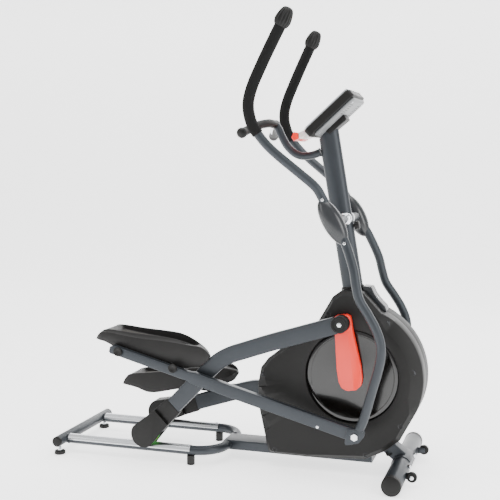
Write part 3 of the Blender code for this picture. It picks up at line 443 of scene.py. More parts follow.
for tag, sign in SIDE_SIGNS.items():
    arc = [pi * i / 24 for i in range(25)]
    ring = [(0.019 * cos(a), 0.019 * sin(a)) for a in arc]
    ring += [(0.0178 * cos(a), 0.0178 * sin(a)) for a in reversed(arc)]
    line = [(x, sign * RAIL_Y, RAIL_Z) for x in (REAR_X + 0.024, REAR_X + 0.2, RAIL_FRONT_X - 0.004)]
    piece("running_sleeve_" + tag, sweep(line, [(-u, -v) for u, v in ring], across=(0, -1, 0)),
          drawn_aluminium,
          "root", ["rail_sleeve_" + tag])
sleeve_screws = [((RAIL_FRONT_X - 0.014, sign * RAIL_Y, RAIL_Z + 0.0192), (0, 0, 1)) for sign in (-1, 1)]
screws("sleeve_screws", sleeve_screws, 0.0045, 0.0024, bright_steel, "root")

# ---------------------------------------------------------------- feet
# Screw-in levelling feet at the rear corners: a moulded rubber puck on a plated stud.
# Two fixed black posts hold the rails level where they bend in to the beam.

# Moulded rubber with a dull bloom.
black_rubber, tree, shader, place = new_finish("moulded_black_rubber", "#0d0d0c", 0.75)
vary(tree, shader, place, 0.02, "#0a0a09", "#141312", (0.66, 0.86))
pores = add_node(tree, "ShaderNodeTexNoise", {}, {"Vector": place, "Scale": 1500.0})
emboss(tree, shader, pores.outputs["Fac"], 0.0001, 0.35)

for tag, sign in SIDE_SIGNS.items():
    spot = (-0.665, sign * 0.187, 0.0)
    puck = lathe([(0.0, 0.0), (0.0185, 0.0), (0.0203, 0.0012), (0.0205, 0.0028), (0.0205, 0.0095),
                  (0.0196, 0.0122), (0.0175, 0.0138), (0.012, 0.0142), (0.0, 0.0142)], spot, (0, 0, 1))
    piece("foot_puck_" + tag, puck, black_rubber, "foot_" + tag, ["leveling_foot_" + tag])
    thread = [(0.0, 0.0138), (0.009, 0.0138), (0.009, 0.0188), (0.0052, 0.0190)]
    for i in range(9):
        thread += [(0.0052, 0.0195 + i * 0.00125), (0.0044, 0.0201 + i * 0.00125)]
    thread += [(0.0048, 0.0325), (0.0, 0.0325)]
    piece("foot_stud_" + tag, lathe(thread, spot, (0, 0, 1), 24), bright_steel, "foot_" + tag)
    post = lathe([(0.0, 0.0), (0.0130, 0.0), (0.0145, 0.0012), (0.0145, 0.0062), (0.0139, 0.0070),
                  (0.0145, 0.0078), (0.0145, 0.0345), (0.0, 0.0345)],
                  (RAIL_FRONT_X - 0.004, sign * 0.157, 0.0),
                 (0, 0, 1))
    piece("middle_post_" + tag, post, black_rubber, "root", ["mid_foot_" + tag])

# ---------------------------------------------------------------- front stabilizer and neck
# A wide round steel tube across the front carries the weight. A rectangular neck drops to it from
# the beam and ends in a saddle plate, bolted through; ribbed moulded caps close the tube's ends.

STABILIZER = (0.609, 0.0343)
stabilizer_radius = 0.0336
bar = tube([(STABILIZER[0], y, STABILIZER[1]) for y in (-0.262, 0.0, 0.262)], stabilizer_radius, 48)
ears = [slab(rounded([(0.630, 0.048), (0.630, 0.022), (0.668, 0.027), (0.668, 0.045)], 0.008),
             sign * 0.149, sign * 0.1535, 0.0006) for sign in (-1, 1)]
piece("stabilizer_tube", merged(bar, *ears), slate_coat, "root", ["front_stabilizer"])


def rib_tree():
    """Geometry Nodes: one rounded rib from the centre line outwards at every point, facing its direction."""
    made = bpy.data.node_groups.new("ribs", "GeometryNodeTree")
    made.interface.new_socket("Geometry", in_out="INPUT", socket_type="NodeSocketGeometry")
    for label, value in [("Rib Radius", 0.001), ("Rib Length", 0.01)]:
        socket = made.interface.new_socket(label, in_out="INPUT", socket_type="NodeSocketFloat")
        socket.default_value = value
    made.interface.new_socket("Finish", in_out="INPUT", socket_type="NodeSocketMaterial")
    made.interface.new_socket("Geometry", in_out="OUTPUT", socket_type="NodeSocketGeometry")
    given = add_node(made, "NodeGroupInput").outputs
    half = add_node(made, "ShaderNodeMath", {"operation": "MULTIPLY"}, {0: given["Rib Length"], 1: 0.5})
    back = add_node(made, "ShaderNodeMath", {"operation": "MULTIPLY"}, {0: given["Rib Length"], 1: -0.5})
    tip = add_node(made, "ShaderNodeCombineXYZ", {}, {2: half.outputs[0]})
    tail = add_node(made, "ShaderNodeCombineXYZ", {}, {2: back.outputs[0]})
    line = add_node(made, "GeometryNodeCurvePrimitiveLine", {},
                    {"Start": tail.outputs[0], "End": tip.outputs[0]})
    ring = add_node(made, "GeometryNodeCurvePrimitiveCircle", {},
                    {"Resolution": 8, "Radius": given["Rib Radius"]})
    rib = add_node(made, "GeometryNodeCurveToMesh", {},
                   {"Curve": line.outputs[0], "Profile Curve": ring.outputs[0], "Fill Caps": True})
    facing = add_node(made, "GeometryNodeInputNamedAttribute", {"data_type": "FLOAT_VECTOR"},
                      {"Name": "facing"})
    turn = add_node(made, "FunctionNodeAlignRotationToVector", {"axis": "Z"},
                    {"Vector": facing.outputs["Attribute"]})
    spread = add_node(made, "GeometryNodeInstanceOnPoints", {},
                      {"Points": given["Geometry"], "Instance": rib.outputs[0], "Rotation": turn.outputs[0]})
    real = add_node(made, "GeometryNodeRealizeInstances", {}, {"Geometry": spread.outputs[0]})
    painted = add_node(made, "GeometryNodeSetMaterial", {},
                       {"Geometry": real.outputs[0], "Material": given["Finish"]})
    add_node(made, "NodeGroupOutput", {}, {"Geometry": painted.outputs[0]})
    return made


RIBS = rib_tree()

for tag, sign in SIDE_SIGNS.items():
    cap = lathe([(0.0, 0.0255), (0.026, 0.0252), (0.0285, 0.0238), (0.0312, 0.0238), (0.0330, 0.0225),
                 (0.0338, 0.0200), (0.0338, 0.0), (0.0325, -0.0008), (0.0, -0.0008)],
                (STABILIZER[0], sign * 0.2555, STABILIZER[1]), (0, sign, 0), 64)
    ribs = 40
    spots = [(STABILIZER[0] + 0.0335 * cos(2 * pi * k / ribs), sign * 0.2655,
              STABILIZER[1] + 0.0335 * sin(2 * pi * k / ribs)) for k in range(ribs)]
    grip = grown("cap_ribs", spots, [(0, 1, 0)] * ribs, [], RIBS,
                 {"Rib Radius": 0.0008, "Rib Length": 0.018, "Finish": black_abs})
    piece("stabilizer_cap_" + tag, merged(cap, grip), black_abs, "root")
    tyre = lathe([(0.0045, 0.0005), (0.0150, 0.0), (0.0174, 0.0012), (0.018, 0.0035), (0.018, 0.0125),
                  (0.0174, 0.0148), (0.0150, 0.016), (0.0125, 0.0158), (0.0115, 0.0135), (0.0070, 0.0135),
                  (0.0060, 0.0158), (0.0045, 0.016)],
                 (0.6625, sign * 0.154, 0.036), (0, sign, 0))
    piece("transport_roller_" + tag, tyre, black_abs, "transport_" + tag,
          ["transport_wheel_" + tag])
axle_bolts = [((0.6625, sign * 0.1715, 0.036), (0, sign, 0)) for sign in (-1, 1)]
screws("transport_bolts", axle_bolts, 0.0075, 0.003, bright_steel, "root")

lean = Vector((0.612 - 0.521, 0, 0.050 - 0.121)).normalized()
neck_ring = rounded([(0.03, -0.025), (0.03, 0.025), (-0.03, 0.025), (-0.03, -0.025)], 0.006)
neck = sweep([Vector((0.500, 0, 0.1374)), Vector((0.521, 0, 0.121)), Vector((0.606, 0, 0.0547))], neck_ring)
arc = [radians(28 + 150 * i / 20) for i in range(21)]
saddle_outline = [(STABILIZER[0] + 0.0366 * cos(a), STABILIZER[1] + 0.0366 * sin(a)) for a in arc]
saddle_outline += [(STABILIZER[0] + 0.0332 * cos(a), STABILIZER[1] + 0.0332 * sin(a)) for a in reversed(arc)]
saddle = slab(saddle_outline, -0.052, 0.052, 0.0007)
piece("neck_and_saddle", merged(neck, saddle), slate_coat, "root", ["front_neck"])
dome_nuts = []
for y in (-0.09, 0.05):
    out = Vector((cos(radians(20)), 0, sin(radians(20))))
    dome_nuts.append((Vector((STABILIZER[0], y, STABILIZER[1])) + out * 0.0355, out))
screws("saddle_nuts", dome_nuts, 0.0085, 0.007, bright_steel, "root", 0.3, 6)
hook = tube(smooth([(0.572, -0.034, 0.070), (0.564, -0.040, 0.066), (0.557, -0.040, 0.068),
                    (0.554, -0.036, 0.076)],
                   4), 0.0035, 16)
piece("neck_clip", hook, black_abs, "root")

# ---------------------------------------------------------------- mast
# An oval powder-coated steel mast leans back from the frame post inside the shroud to the console.
# A moulded collar and a strap cover close the shroud round its foot; a knob behind it locks it.


def refinish(node, finish):
    """Give a CAD node that stays in view its material."""
    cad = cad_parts[node]
    cad.data.materials.clear()
    cad.data.materials.append(finish)


def mast_point(height, y=0.0):
    """Centre line of the leaning mast."""
    return Vector((0.422 - (height - 0.647) * 0.169, y, height))


def console_point(along, out, y=0.0):
    """Point from the console's lower edge, along its face and out of the face."""
    c, s = cos(radians(42.3)), sin(radians(42.3))
    return Vector((0.258 + along * c - out * s, y, 1.213 + along * s + out * c))


FACE_OUT = (console_point(0, 1) - console_point(0, 0)).normalized()

mast = sweep([mast_point(h) for h in (0.604, 0.65, 0.8, 1.0, 1.2, 1.32)], circle(0.026, 56, 0.03725))
bmesh.ops.bisect_plane(mast, geom=mast.verts[:] + mast.edges[:] + mast.faces[:],
                       plane_co=console_point(0, -0.0458), plane_no=FACE_OUT, clear_outer=True)
bmesh.ops.holes_fill(mast, edges=[e for e in mast.edges if e.is_boundary], sides=0)
bmesh.ops.recalc_face_normals(mast, faces=mast.faces)
piece("mast_tube", mast, slate_coat, "root", ["mast"])
collar = sweep([mast_point(h) for h in (0.640, 0.641, 0.658, 0.6615, 0.663)], circle(0.0300, 56, 0.0415),
               [1.0, 1.03, 1.0, 0.98, 0.93])
piece("mast_collar", collar, black_abs, "root")

# Glossy moulded ABS cover, a shade greyer than the shroud.
grey_gloss, tree, shader, place = new_finish("charcoal_gloss_abs", "#202224", 0.22)
vary(tree, shader, place, 0.03, "#1c1e20", "#26282b", (0.18, 0.3))
strap = slab(rounded([(0.458, 0.668), (0.492, 0.664), (0.503, 0.640), (0.520, 0.618), (0.541, 0.597),
                      (0.548, 0.580), (0.531, 0.572), (0.470, 0.620)], 0.006), -0.03, 0.03, 0.003, 3)
piece("strap_cover", strap, grey_gloss, "root")
strap_spots = [(Vector((0.5135, y, 0.6275)), (0.78, 0, 0.62)) for y in (-0.016, 0.016)]
screws("strap_screws", strap_spots, 0.005, 0.002, bright_steel, "root")
knob = lathe([(0.0, -0.012), (0.006, -0.012), (0.006, 0.0), (0.0135, 0.001), (0.0150, 0.003), (0.0150, 0.013),
              (0.0135, 0.0155), (0.008, 0.0168), (0.0, 0.0170)],
              mast_point(0.872) + Vector((0.042, 0, 0.007)),
             (0.985, 0, 0.167), 32)
piece("mast_knob", knob, black_abs, "root")

# ---------------------------------------------------------------- swing axle
# A turned steel axle passes through the mast and carries both swinging handles.
# A domed chrome boss stands on each side of the mast where it comes out.

axle = lathe([(0.0, -0.2195), (0.0113, -0.2195), (0.0125, -0.2183), (0.0125, 0.2183), (0.0113, 0.2195),
              (0.0, 0.2195)], (0.395, 0, 0.903), (0, 1, 0))
piece("handle_axle", axle, bright_steel, "root", ["swing_axle"])
for tag, sign in SIDE_SIGNS.items():
    boss = lathe([(0.0127, 0.018), (0.0235, 0.020), (0.0240, 0.0300), (0.0228, 0.0345), (0.0190, 0.0385),
                  (0.0160, 0.0400), (0.0160, 0.0470), (0.0148, 0.0482), (0.0127, 0.0482)],
                 (0.395, 0, 0.903), (0, sign, 0))
    piece("axle_boss_" + tag, boss, bright_steel, "root")
    spacer = lathe([(0.0127, 0.0484), (0.0150, 0.0484), (0.0150, 0.1640), (0.0127, 0.1640)],
                   (0.395, 0, 0.903), (0, sign, 0))
    piece("axle_spacer_" + tag, spacer, slate_coat, "root")

# ---------------------------------------------------------------- console
# The display is a thin two-part moulded case clipped together, with a glass-fronted screen and keys on
# the user's side and a vented grey back. Screws through the back hold it to the mast's head.


def face_block(along, out, half_width, corner, edge):
    """Block with rounded corners standing on the console's face plane, its outer rim broken."""
    half = (along[1] - along[0]) / 2
    ring = rounded([(half_width, -half), (half_width, half), (-half_width, half), (-half_width, -half)],
                   corner, 6)
    middle = (along[0] + along[1]) / 2
    shrink = 1 - edge / half_width
    levels = [(out[0], shrink), (out[0] + edge * 0.3, (1 + 2 * shrink) / 3), (out[0] + edge, 1.0),
              (out[1] - edge, 1.0), (out[1] - edge * 0.3, (1 + 2 * shrink) / 3), (out[1], shrink)]
    return sweep([console_point(middle, o) for o, s in levels], ring, [s for o, s in levels])


# Light grey ABS with a fine texture.
grey_abs, tree, shader, place = new_finish("light_grey_abs", "#6d6f71", 0.5)
vary(tree, shader, place, 0.05, "#66686a", "#767879", (0.42, 0.56))
grain = add_node(tree, "ShaderNodeTexVoronoi", {}, {"Vector": place, "Scale": 1100.0})
emboss(tree, shader, grain.outputs["Distance"], 0.0001, 0.3)
# Vacuum-metallised silver trim under clear lacquer.
silver_trim, tree, shader, place = new_finish("metallised_silver_trim", "#c2c5c8", 0.24, 1.0)
vary(tree, shader, place, 0.02, "#babdc0", "#cdd0d2", (0.2, 0.3))
# Acrylic lens over a dark liquid crystal panel.
screen_glass, tree, shader, place = new_finish("smoked_acrylic_lens", "#141a1b", 0.06)
vary(tree, shader, place, 0.04, "#111617", "#192021", (0.04, 0.1))
# Gloss ABS dyed red right through.
red_abs, tree, shader, place = new_finish("red_gloss_abs", "#e8260c", 0.32, 0.0, Coat_Weight=0.15)
vary(tree, shader, place, 0.06, "#e0220a", "#ec2c12", (0.28, 0.38))

piece("console_case", face_block((0, 0.2124), (-0.0335, -0.0035), 0.105, 0.018, 0.003), black_abs, "root",
      ["console_body"])
piece("console_bezel", face_block((0.003, 0.2094), (-0.0036, 0.0022), 0.102, 0.016, 0.0010), silver_trim,
      "root")
piece("console_face", face_block((0.010, 0.2024), (0.0010, 0.0028), 0.095, 0.012, 0.0004), black_abs,
      "root")
piece("console_screen", face_block((0.085, 0.185), (0.0020, 0.0034), 0.070, 0.004, 0.0003), screen_glass,
      "root")
keys = []
for i in range(5):
    y = (i - 2) * 0.030
    keys.append(lathe([(0.0, 0.0), (0.0092, 0.0), (0.0096, 0.0006), (0.0094, 0.0018), (0.0080, 0.0026),
                       (0.0, 0.0029)], console_point(0.045, 0.0026, y), FACE_OUT, 32))
piece("console_keys", merged(*keys), grey_abs, "root")

piece("console_rear_case", face_block((0.020, 0.205), (-0.0453, -0.0334), 0.098, 0.014, 0.0045), grey_abs,
      "root", ["console_back"])
slots = [tuple(console_point(0.135 + row * 0.009, -0.0453, side * 0.062)) for row in range(6)
         for side in (-1, 1)]
vents = grown("vents", slots, [(0, 1, 0)] * len(slots), [], RIBS,
              {"Rib Radius": 0.0012, "Rib Length": 0.040, "Finish": black_abs})
piece("console_vents", vents, black_abs, "root")
back_spots = [(console_point(a, -0.0448, y), -FACE_OUT) for a in (0.035, 0.190) for y in (-0.082, 0.082)]
screws("console_screws", back_spots, 0.0036, 0.0014, bright_steel, "root")
lip = slab(rounded([tuple(console_point(a, o))[::2] for a, o in
                    [(-0.054, 0.000), (-0.050, 0.016), (-0.032, 0.024), (-0.022, 0.010), (-0.036, -0.006)]],
                   0.004), -0.078, 0.078, 0.003, 3)
piece("console_lip", lip, red_abs, "root")
# Milky polycarbonate diffuser.
milky_lens, tree, shader, place = new_finish("milky_polycarbonate", "#d9cfcd", 0.3, 0.0,
                                             Subsurface_Weight=0.2)
vary(tree, shader, place, 0.006, "#c9b9b7", "#e6e0de", (0.24, 0.38))
apron = slab(rounded([tuple(console_point(a, o))[::2] for a, o in
                      [(-0.035, -0.006), (-0.021, 0.010), (0.006, 0.001), (0.010, -0.022)]], 0.003),
             -0.074, 0.074, 0.002, 3)
piece("console_apron", apron, milky_lens, "root")
head = slab(rounded([tuple(console_point(a, o))[::2] for a, o in
                     [(0.045, -0.044), (0.135, -0.044), (0.130, -0.066), (0.052, -0.062)]], 0.006),
            -0.034, 0.034, 0.003, 3)
piece("mast_head", head, black_abs, "root")

# ---------------------------------------------------------------- fixed pulse handlebar
# A bent steel tube is welded to the mast's head and reaches back towards the user. Its two horns end
# in moulded black grips that carry bright pulse sensor plates and a ball at the tip.

stem = [(0.2978, 0, 1.1380), (0.267, 0, 1.128), (0.230, 0, 1.125), (0.201, 0, 1.136),
        (0.175, 0, 1.161), (0.156, 0, 1.193), (0.141, 0, 1.225), (0.128, 0, 1.239)]
bar = merged(tube(smooth(stem, 6), 0.014), weld_bead((0.2985, 0, 1.1383), (0.93, 0, 0.37), 0.0150))
piece("pulse_stem", bar, slate_coat, "root", ["pulse_bar"])
for tag, sign in SIDE_SIGNS.items():
    horn = smooth([(x, sign * y, z) for x, y, z in
                   [(0.129, 0.004, 1.2385), (0.118, 0.050, 1.241), (0.095, 0.112, 1.230),
                    (0.066, 0.198, 1.203)]],
                  10)
    end, along = horn[-1], (horn[-1] - horn[-2]).normalized()
    tip = [(0.0, -0.022), (0.0150, -0.020), (0.0165, -0.012), (0.0185, -0.004), (0.0182, 0.003),
           (0.0150, 0.0085), (0.0100, 0.0115), (0.0, 0.0125)]
    piece("pulse_grip_skin_" + tag, merged(tube(horn, 0.0153, 32, 0.002), lathe(tip, end, along, 40)),
          black_abs,
          "root", ["pulse_grip_" + tag])
    plates = []
    for start, side_angles in [(12, (120, 240))]:
        turns = [radians(side_angles[0] + (side_angles[1] - side_angles[0]) * i / 12) for i in range(13)]
        ring = [(0.0161 * cos(t), 0.0161 * sin(t)) for t in turns]
        ring += [(0.0150 * cos(t), 0.0150 * sin(t)) for t in reversed(turns)]
        plates.append(sweep(horn[start:start + 13], ring, across=(1, 0, 0)))
    piece("pulse_sensors_" + tag, merged(*plates), bright_steel, "root")

# ---------------------------------------------------------------- shroud
# Two moulded ABS half shells meet on the middle plane and are screwed together through deep bosses.
# Each has a bevelled rim, a toothed rear edge, and a round well for the crank disc.

outline = [(0.425 + 0.2605 * cos(radians(a)), 0.345 + 0.2605 * sin(radians(a))) for a in range(-25, 67, 3)]
outline += rounded([(0.533, 0.582), (0.470, 0.652), (0.395, 0.655), (0.364, 0.632), (0.312, 0.542),
                    (0.128, 0.398),
                    (0.100, 0.362), (0.088, 0.298), (0.092, 0.215), (0.129, 0.046), (0.272, 0.043),
                    (0.486, 0.055), (0.552, 0.088), (0.607, 0.133), (0.660, 0.235)], 0.016, 5)[6:-6]


def reach_to(outline, centre, angle):
    """Distance from the centre to the outline in a direction."""
    dx, dz = cos(angle), sin(angle)
    farthest = 0.0
    for (x1, z1), (x2, z2) in zip(outline, outline[1:] + outline[:1]):
        x1, z1, x2, z2 = x1 - centre[0], z1 - centre[1], x2 - centre[0], z2 - centre[1]
        cross = dx * (z2 - z1) - dz * (x2 - x1)
        if abs(cross) < 1e-12:
            continue
        r = (x1 * (z2 - z1) - z1 * (x2 - x1)) / cross
        t = (x1 * dz - z1 * dx) / cross
        if -1e-6 <= t <= 1 + 1e-6 and r > farthest:
            farthest = r
    return farthest


AXLE = (0.438, 0.353)
spokes = 720
edges_at = [reach_to(outline, AXLE, 2 * pi * k / spokes) for k in range(spokes)]
bevels = []                     # width of the rim's bevel, and how far out its low edge stands
for k in range(spokes):
    angle = k * 360 / spokes
    front = max(0.0, min(1.0, (66 - angle) / 12 if angle < 180 else (angle - 330) / 12))
    width = 0.018 + 0.026 * front
    height = 0.353 + edges_at[k] * sin(radians(angle))
    if 150 < angle < 222 and 0.125 < height < 0.345:
        width += 0.026 * (((0.345 - height) / 0.055) % 1.0)
    bevels.append((width, 0.079 - 0.008 * front))
for tag, sign in SIDE_SIGNS.items():
    bm = bmesh.new()
    rows = []
    for share in range(15):
        row = []
        for k in range(spokes):
            reach, (width, low) = edges_at[k], bevels[k]
            crease = reach - width
            r, y = [(0.152, 0.0820), (0.1640, 0.0820), (0.1662, 0.0835), (0.1664, 0.0950), (0.1670, 0.0970),
                    (0.1690, 0.0977), (0.172 + (crease - 0.172) * 0.5, 0.0978), (crease, 0.0977),
                    (crease + width * 0.06, 0.0968), (reach - 0.006, low + 0.0025),
                    (reach - 0.002, low - 0.0005),
                    (reach, low - 0.005), (reach, 0.040), (reach, 0.0035), (reach - 0.0008, 0.0006)][share]
            a = 2 * pi * k / spokes
            row.append(bm.verts.new((AXLE[0] + r * cos(a), sign * y, AXLE[1] + r * sin(a))))
        rows.append(row)
    for one, two in zip(rows, rows[1:]):
        for k in range(spokes):
            bm.faces.new((one[k - 1], one[k], two[k], two[k - 1]))
    bmesh.ops.recalc_face_normals(bm, faces=bm.faces)
    if sum(f.normal.y * sign for f in bm.faces) < 0:
        bmesh.ops.reverse_faces(bm, faces=bm.faces)
    bmesh.ops.solidify(bm, geom=bm.faces[:], thickness=0.0024)
    bmesh.ops.recalc_face_normals(bm, faces=bm.faces)
    piece("shroud_half_" + tag, bm, black_abs, "root", ["shroud_" + tag], 24.0)
    spots = [(0.354, 0.573), (0.560, 0.547), (0.652, 0.380), (0.612, 0.190), (0.491, 0.078), (0.159, 0.066),
             (0.116, 0.340)]
    wells = []
    for x, z in spots:
        k = int(round((Vector((x - AXLE[0], z - AXLE[1])).angle_signed(Vector((1, 0))) % (2 * pi))
                      / (2 * pi) * spokes)) % spokes
        gap = edges_at[k] - Vector((x - AXLE[0], z - AXLE[1])).length
        width, low = bevels[k]
        depth = 0.0977 if gap > width else low + (0.0977 - low) * max(gap, 0.004) / width
        wells.append(lathe([(0.0, -0.003), (0.0088, -0.003), (0.0088, 0.0007), (0.0080, 0.0012),
                            (0.0070, 0.0010),
                            (0.0058, -0.0012), (0.0, -0.0014)], (x, sign * depth, z), (0, sign, 0), 32))
    piece("shroud_bosses_" + tag, merged(*wells), grey_gloss, "root")

# ---------------------------------------------------------------- crank and its discs
# A pulley disc on each side closes the shroud's well and turns with the crank. Each crank is a steel
# lever under a clipped-on red cover, and ends in a bright pin for the roller arm.

# Polished acrylic-capped ABS: deep black with faint turning haze.
disc_black, tree, shader, place = new_finish("polished_black_acrylic", "#050403", 0.12, 0.0, Coat_Weight=0.2)
vary(tree, shader, place, 0.08, "#030302", "#070504", (0.09, 0.18))
# Cast iron, as machined, with a mottled skin.
cast_iron, tree, shader, place = new_finish("machined_cast_iron", "#4a4948", 0.5, 0.9)
vary(tree, shader, place, 0.01, "#403f3e", "#555351", (0.4, 0.62))
pits = add_node(tree, "ShaderNodeTexNoise", {}, {"Vector": place, "Scale": 900.0})
emboss(tree, shader, pits.outputs["Fac"], 0.0002, 0.4)

for node in ("drive_pulley", "flywheel", "brake_yoke"):
    refinish(node, cast_iron)
for node in ("crank_axle", "flywheel_mount", "crank_arm_r", "crank_arm_l"):
    refinish(node, bright_steel)
refinish("drive_belt", black_rubber)
refinish("frame_post", slate_coat)

CRANK_ANGLES = {"r": radians(98.3), "l": radians(278.3)}
CRANK_LENGTH = 0.198


def crank_point(tag, along, across):
    """Point in the crank's own directions: along it from the axle, and across it."""
    c, s = cos(CRANK_ANGLES[tag]), sin(CRANK_ANGLES[tag])
    return (AXLE[0] + along * c + across * s, AXLE[1] + along * s - across * c)


for tag, sign in SIDE_SIGNS.items():
    disc = lathe([(0.0126, 0.0862), (0.1600, 0.0862), (0.1625, 0.0872), (0.1625, 0.0890), (0.1612, 0.0899),
                  (0.1500, 0.0899), (0.1493, 0.0893), (0.1480, 0.0893), (0.1473, 0.0900), (0.060, 0.0912),
                  (0.048, 0.0930), (0.0126, 0.0930)], (AXLE[0], 0, AXLE[1]), (0, sign, 0), 160)
    piece("disc_face_" + tag, disc, disc_black, "crank", ["crank_disc_" + tag])
    shape = [(-0.042, -0.016), (-0.030, -0.034), (-0.008, -0.041), (0.038, -0.042), (0.165, -0.031),
             (0.213, -0.030), (0.224, -0.020)]
    shape = [crank_point(tag, *p) for p in shape + [(u, -v) for u, v in reversed(shape)]]
    cover = slab(rounded(shape, 0.010, 5), sign * 0.0985, sign * 0.1305, 0.0032, 4)
    ridge = crank_point(tag, 0.0, 0.010)
    tip = crank_point(tag, 0.2, 0.016)
    fold = Vector((-(tip[1] - ridge[1]), 0, tip[0] - ridge[0])).normalized()
    side_probe = crank_point(tag, 0.0, 0.03)
    if fold.dot(Vector((side_probe[0] - ridge[0], 0, side_probe[1] - ridge[1]))) < 0:
        fold = -fold
    start = Vector((ridge[0], 0, ridge[1]))
    bmesh.ops.bisect_plane(cover, geom=cover.verts[:] + cover.edges[:] + cover.faces[:], plane_co=start,
                           plane_no=fold)
    for vert in cover.verts:
        past = (vert.co - start).dot(fold)
        if past > 0.0 and abs(vert.co.y) > 0.126:
            vert.co.y -= sign * past * 0.34
    piece("crank_cover_skin_" + tag, cover, red_abs, "crank", ["crank_cover_" + tag], 14.0)
    pin_x, pin_z = crank_point(tag, CRANK_LENGTH, 0.0)
    pin = lathe([(0.0, 0.110), (0.0128, 0.110), (0.0128, 0.1295), (0.0180, 0.1300), (0.0180, 0.1350),
                 (0.0168, 0.1368), (0.0128, 0.1368), (0.0, 0.1369)], (pin_x, 0, pin_z), (0, sign, 0), 40)
    piece("crank_pin_" + tag, pin, bright_steel, "crank")

# ---------------------------------------------------------------- rollers and their trucks
# A grooved green urethane wheel runs on each rail sleeve, on a plain steel axle.

# Cast urethane: green right through, slightly waxy, dulled where it runs.
green_urethane, tree, shader, place = new_finish("green_cast_urethane", "#2b8f27", 0.42, 0.0,
                                                 Subsurface_Weight=0.1)
vary(tree, shader, place, 0.012, "#24811f", "#349c2f", (0.34, 0.55))


ROLLER_HEIGHT = 0.104
ARM_LENGTH = 0.855


def turned_point(point, angle, old_centre, new_centre):
    """X, Z point turned about a centre that moves with it."""
    x, z = point[0] - old_centre[0], point[1] - old_centre[1]
    return (new_centre[0] + x * cos(angle) - z * sin(angle), new_centre[1] + x * sin(angle) + z * cos(angle))


def heading(start, end):
    """Angle of the line between two X, Z points."""
    return atan2(end[1] - start[1], end[0] - start[0])


def distance(a, b):
    return hypot(b[0] - a[0], b[1] - a[1])


def arm_ends(angle):
    """Crank pin and roller axle of one side, for its crank angle."""
    pin = (AXLE[0] + CRANK_LENGTH * cos(angle), AXLE[1] + CRANK_LENGTH * sin(angle))
    return pin, (pin[0] - sqrt(ARM_LENGTH ** 2 - (pin[1] - ROLLER_HEIGHT) ** 2), ROLLER_HEIGHT)


SWING_PIVOT, SWING_END, CROSS_PIVOT = (0.395, 0.903), (0.475, 0.175), (-0.098, 0.330)
REST_PIN, REST_ROLLER = arm_ends(CRANK_ANGLES["r"])


class Side:
    """One side of the linkage: maps right-side rest coordinates to this side's pose."""

    def __init__(self, tag):
        self.tag, self.sign = tag, SIDE_SIGNS[tag]
        self.pin, self.roller = arm_ends(CRANK_ANGLES[tag])
        self.arm_turn = heading(self.roller, self.pin) - heading(REST_ROLLER, REST_PIN)
        cross = self.arm(CROSS_PIVOT)
        bar, swing = distance(CROSS_PIVOT, SWING_END), distance(SWING_PIVOT, SWING_END)
        span = distance(cross, SWING_PIVOT)
        lean = heading(cross, SWING_PIVOT) - acos((bar ** 2 + span ** 2 - swing ** 2) / (2 * bar * span))
        self.swing_end = (cross[0] + bar * cos(lean), cross[1] + bar * sin(lean))
        self.bar_turn = lean - heading(CROSS_PIVOT, SWING_END)
        self.swing_turn = heading(SWING_PIVOT, self.swing_end) - heading(SWING_PIVOT, SWING_END)

    def arm(self, point):
        return turned_point(point, self.arm_turn, REST_ROLLER, self.roller)

    def bar(self, point):
        return turned_point(point, self.bar_turn, SWING_END, self.swing_end)

    def swing(self, point):
        return turned_point(point, self.swing_turn, SWING_PIVOT, SWING_PIVOT)

    def placed(self, mapping, x, y, z):
        """Point at a distance y from the middle plane, carried by one of the mappings."""
        moved = mapping((x, z))
        return Vector((moved[0], self.sign * y, moved[1]))


SIDES = [Side("r"), Side("l")]

for side in SIDES:
    groove = [(0.0515 - sqrt(0.0202 ** 2 - t ** 2), RAIL_Y + t)
              for t in [-0.0183 + 0.0366 * i / 16 for i in range(17)]]
    tyre = [(0.0068, RAIL_Y - 0.0213), (0.0200, RAIL_Y - 0.0213), (0.0220, RAIL_Y - 0.0200),
            (0.0340, RAIL_Y - 0.0200),
            (0.0360, RAIL_Y - 0.0213), (0.0436, RAIL_Y - 0.0213), (0.0448, RAIL_Y - 0.0204)] + groove
    tyre += [(0.0448, RAIL_Y + 0.0204), (0.0436, RAIL_Y + 0.0213), (0.0360, RAIL_Y + 0.0213),
             (0.0340, RAIL_Y + 0.0200), (0.0220, RAIL_Y + 0.0200), (0.0200, RAIL_Y + 0.0213),
             (0.0068, RAIL_Y + 0.0213)]
    wheel = lathe(tyre, (side.roller[0], 0, side.roller[1]), (0, side.sign, 0), 64)
    piece("wheel_" + side.tag, wheel, green_urethane, "roller_" + side.tag,
          ["roller_wheel_" + side.tag])
    refinish("roller_axle_" + side.tag, bright_steel)
    refinish("pivot_sleeve_" + side.tag, bright_steel)
    refinish("link_bolt_" + side.tag, bright_steel)

# ---------------------------------------------------------------- roller arms
# A cranked rectangular steel arm runs from the crank pin down to a forked roller. Its top end is a
# pressed bearing housing; the wheel sits under a two-cheek moulded cover with a boot up the arm.

ARM_PATH = [(0.393, 0.5437), (0.275, 0.5063), (0.157, 0.4690), (0.060, 0.4350), (0.020, 0.4210),
            (-0.020, 0.4010), (-0.056, 0.3715), (-0.130, 0.2962), (-0.206, 0.2180), (-0.262, 0.1615)]


def boot_line(reach):
    """Point on the straight lower end of the roller arm, from the roller axle."""
    angle = heading(REST_ROLLER, (-0.206, 0.218))
    return (REST_ROLLER[0] + reach * cos(angle), REST_ROLLER[1] + reach * sin(angle))


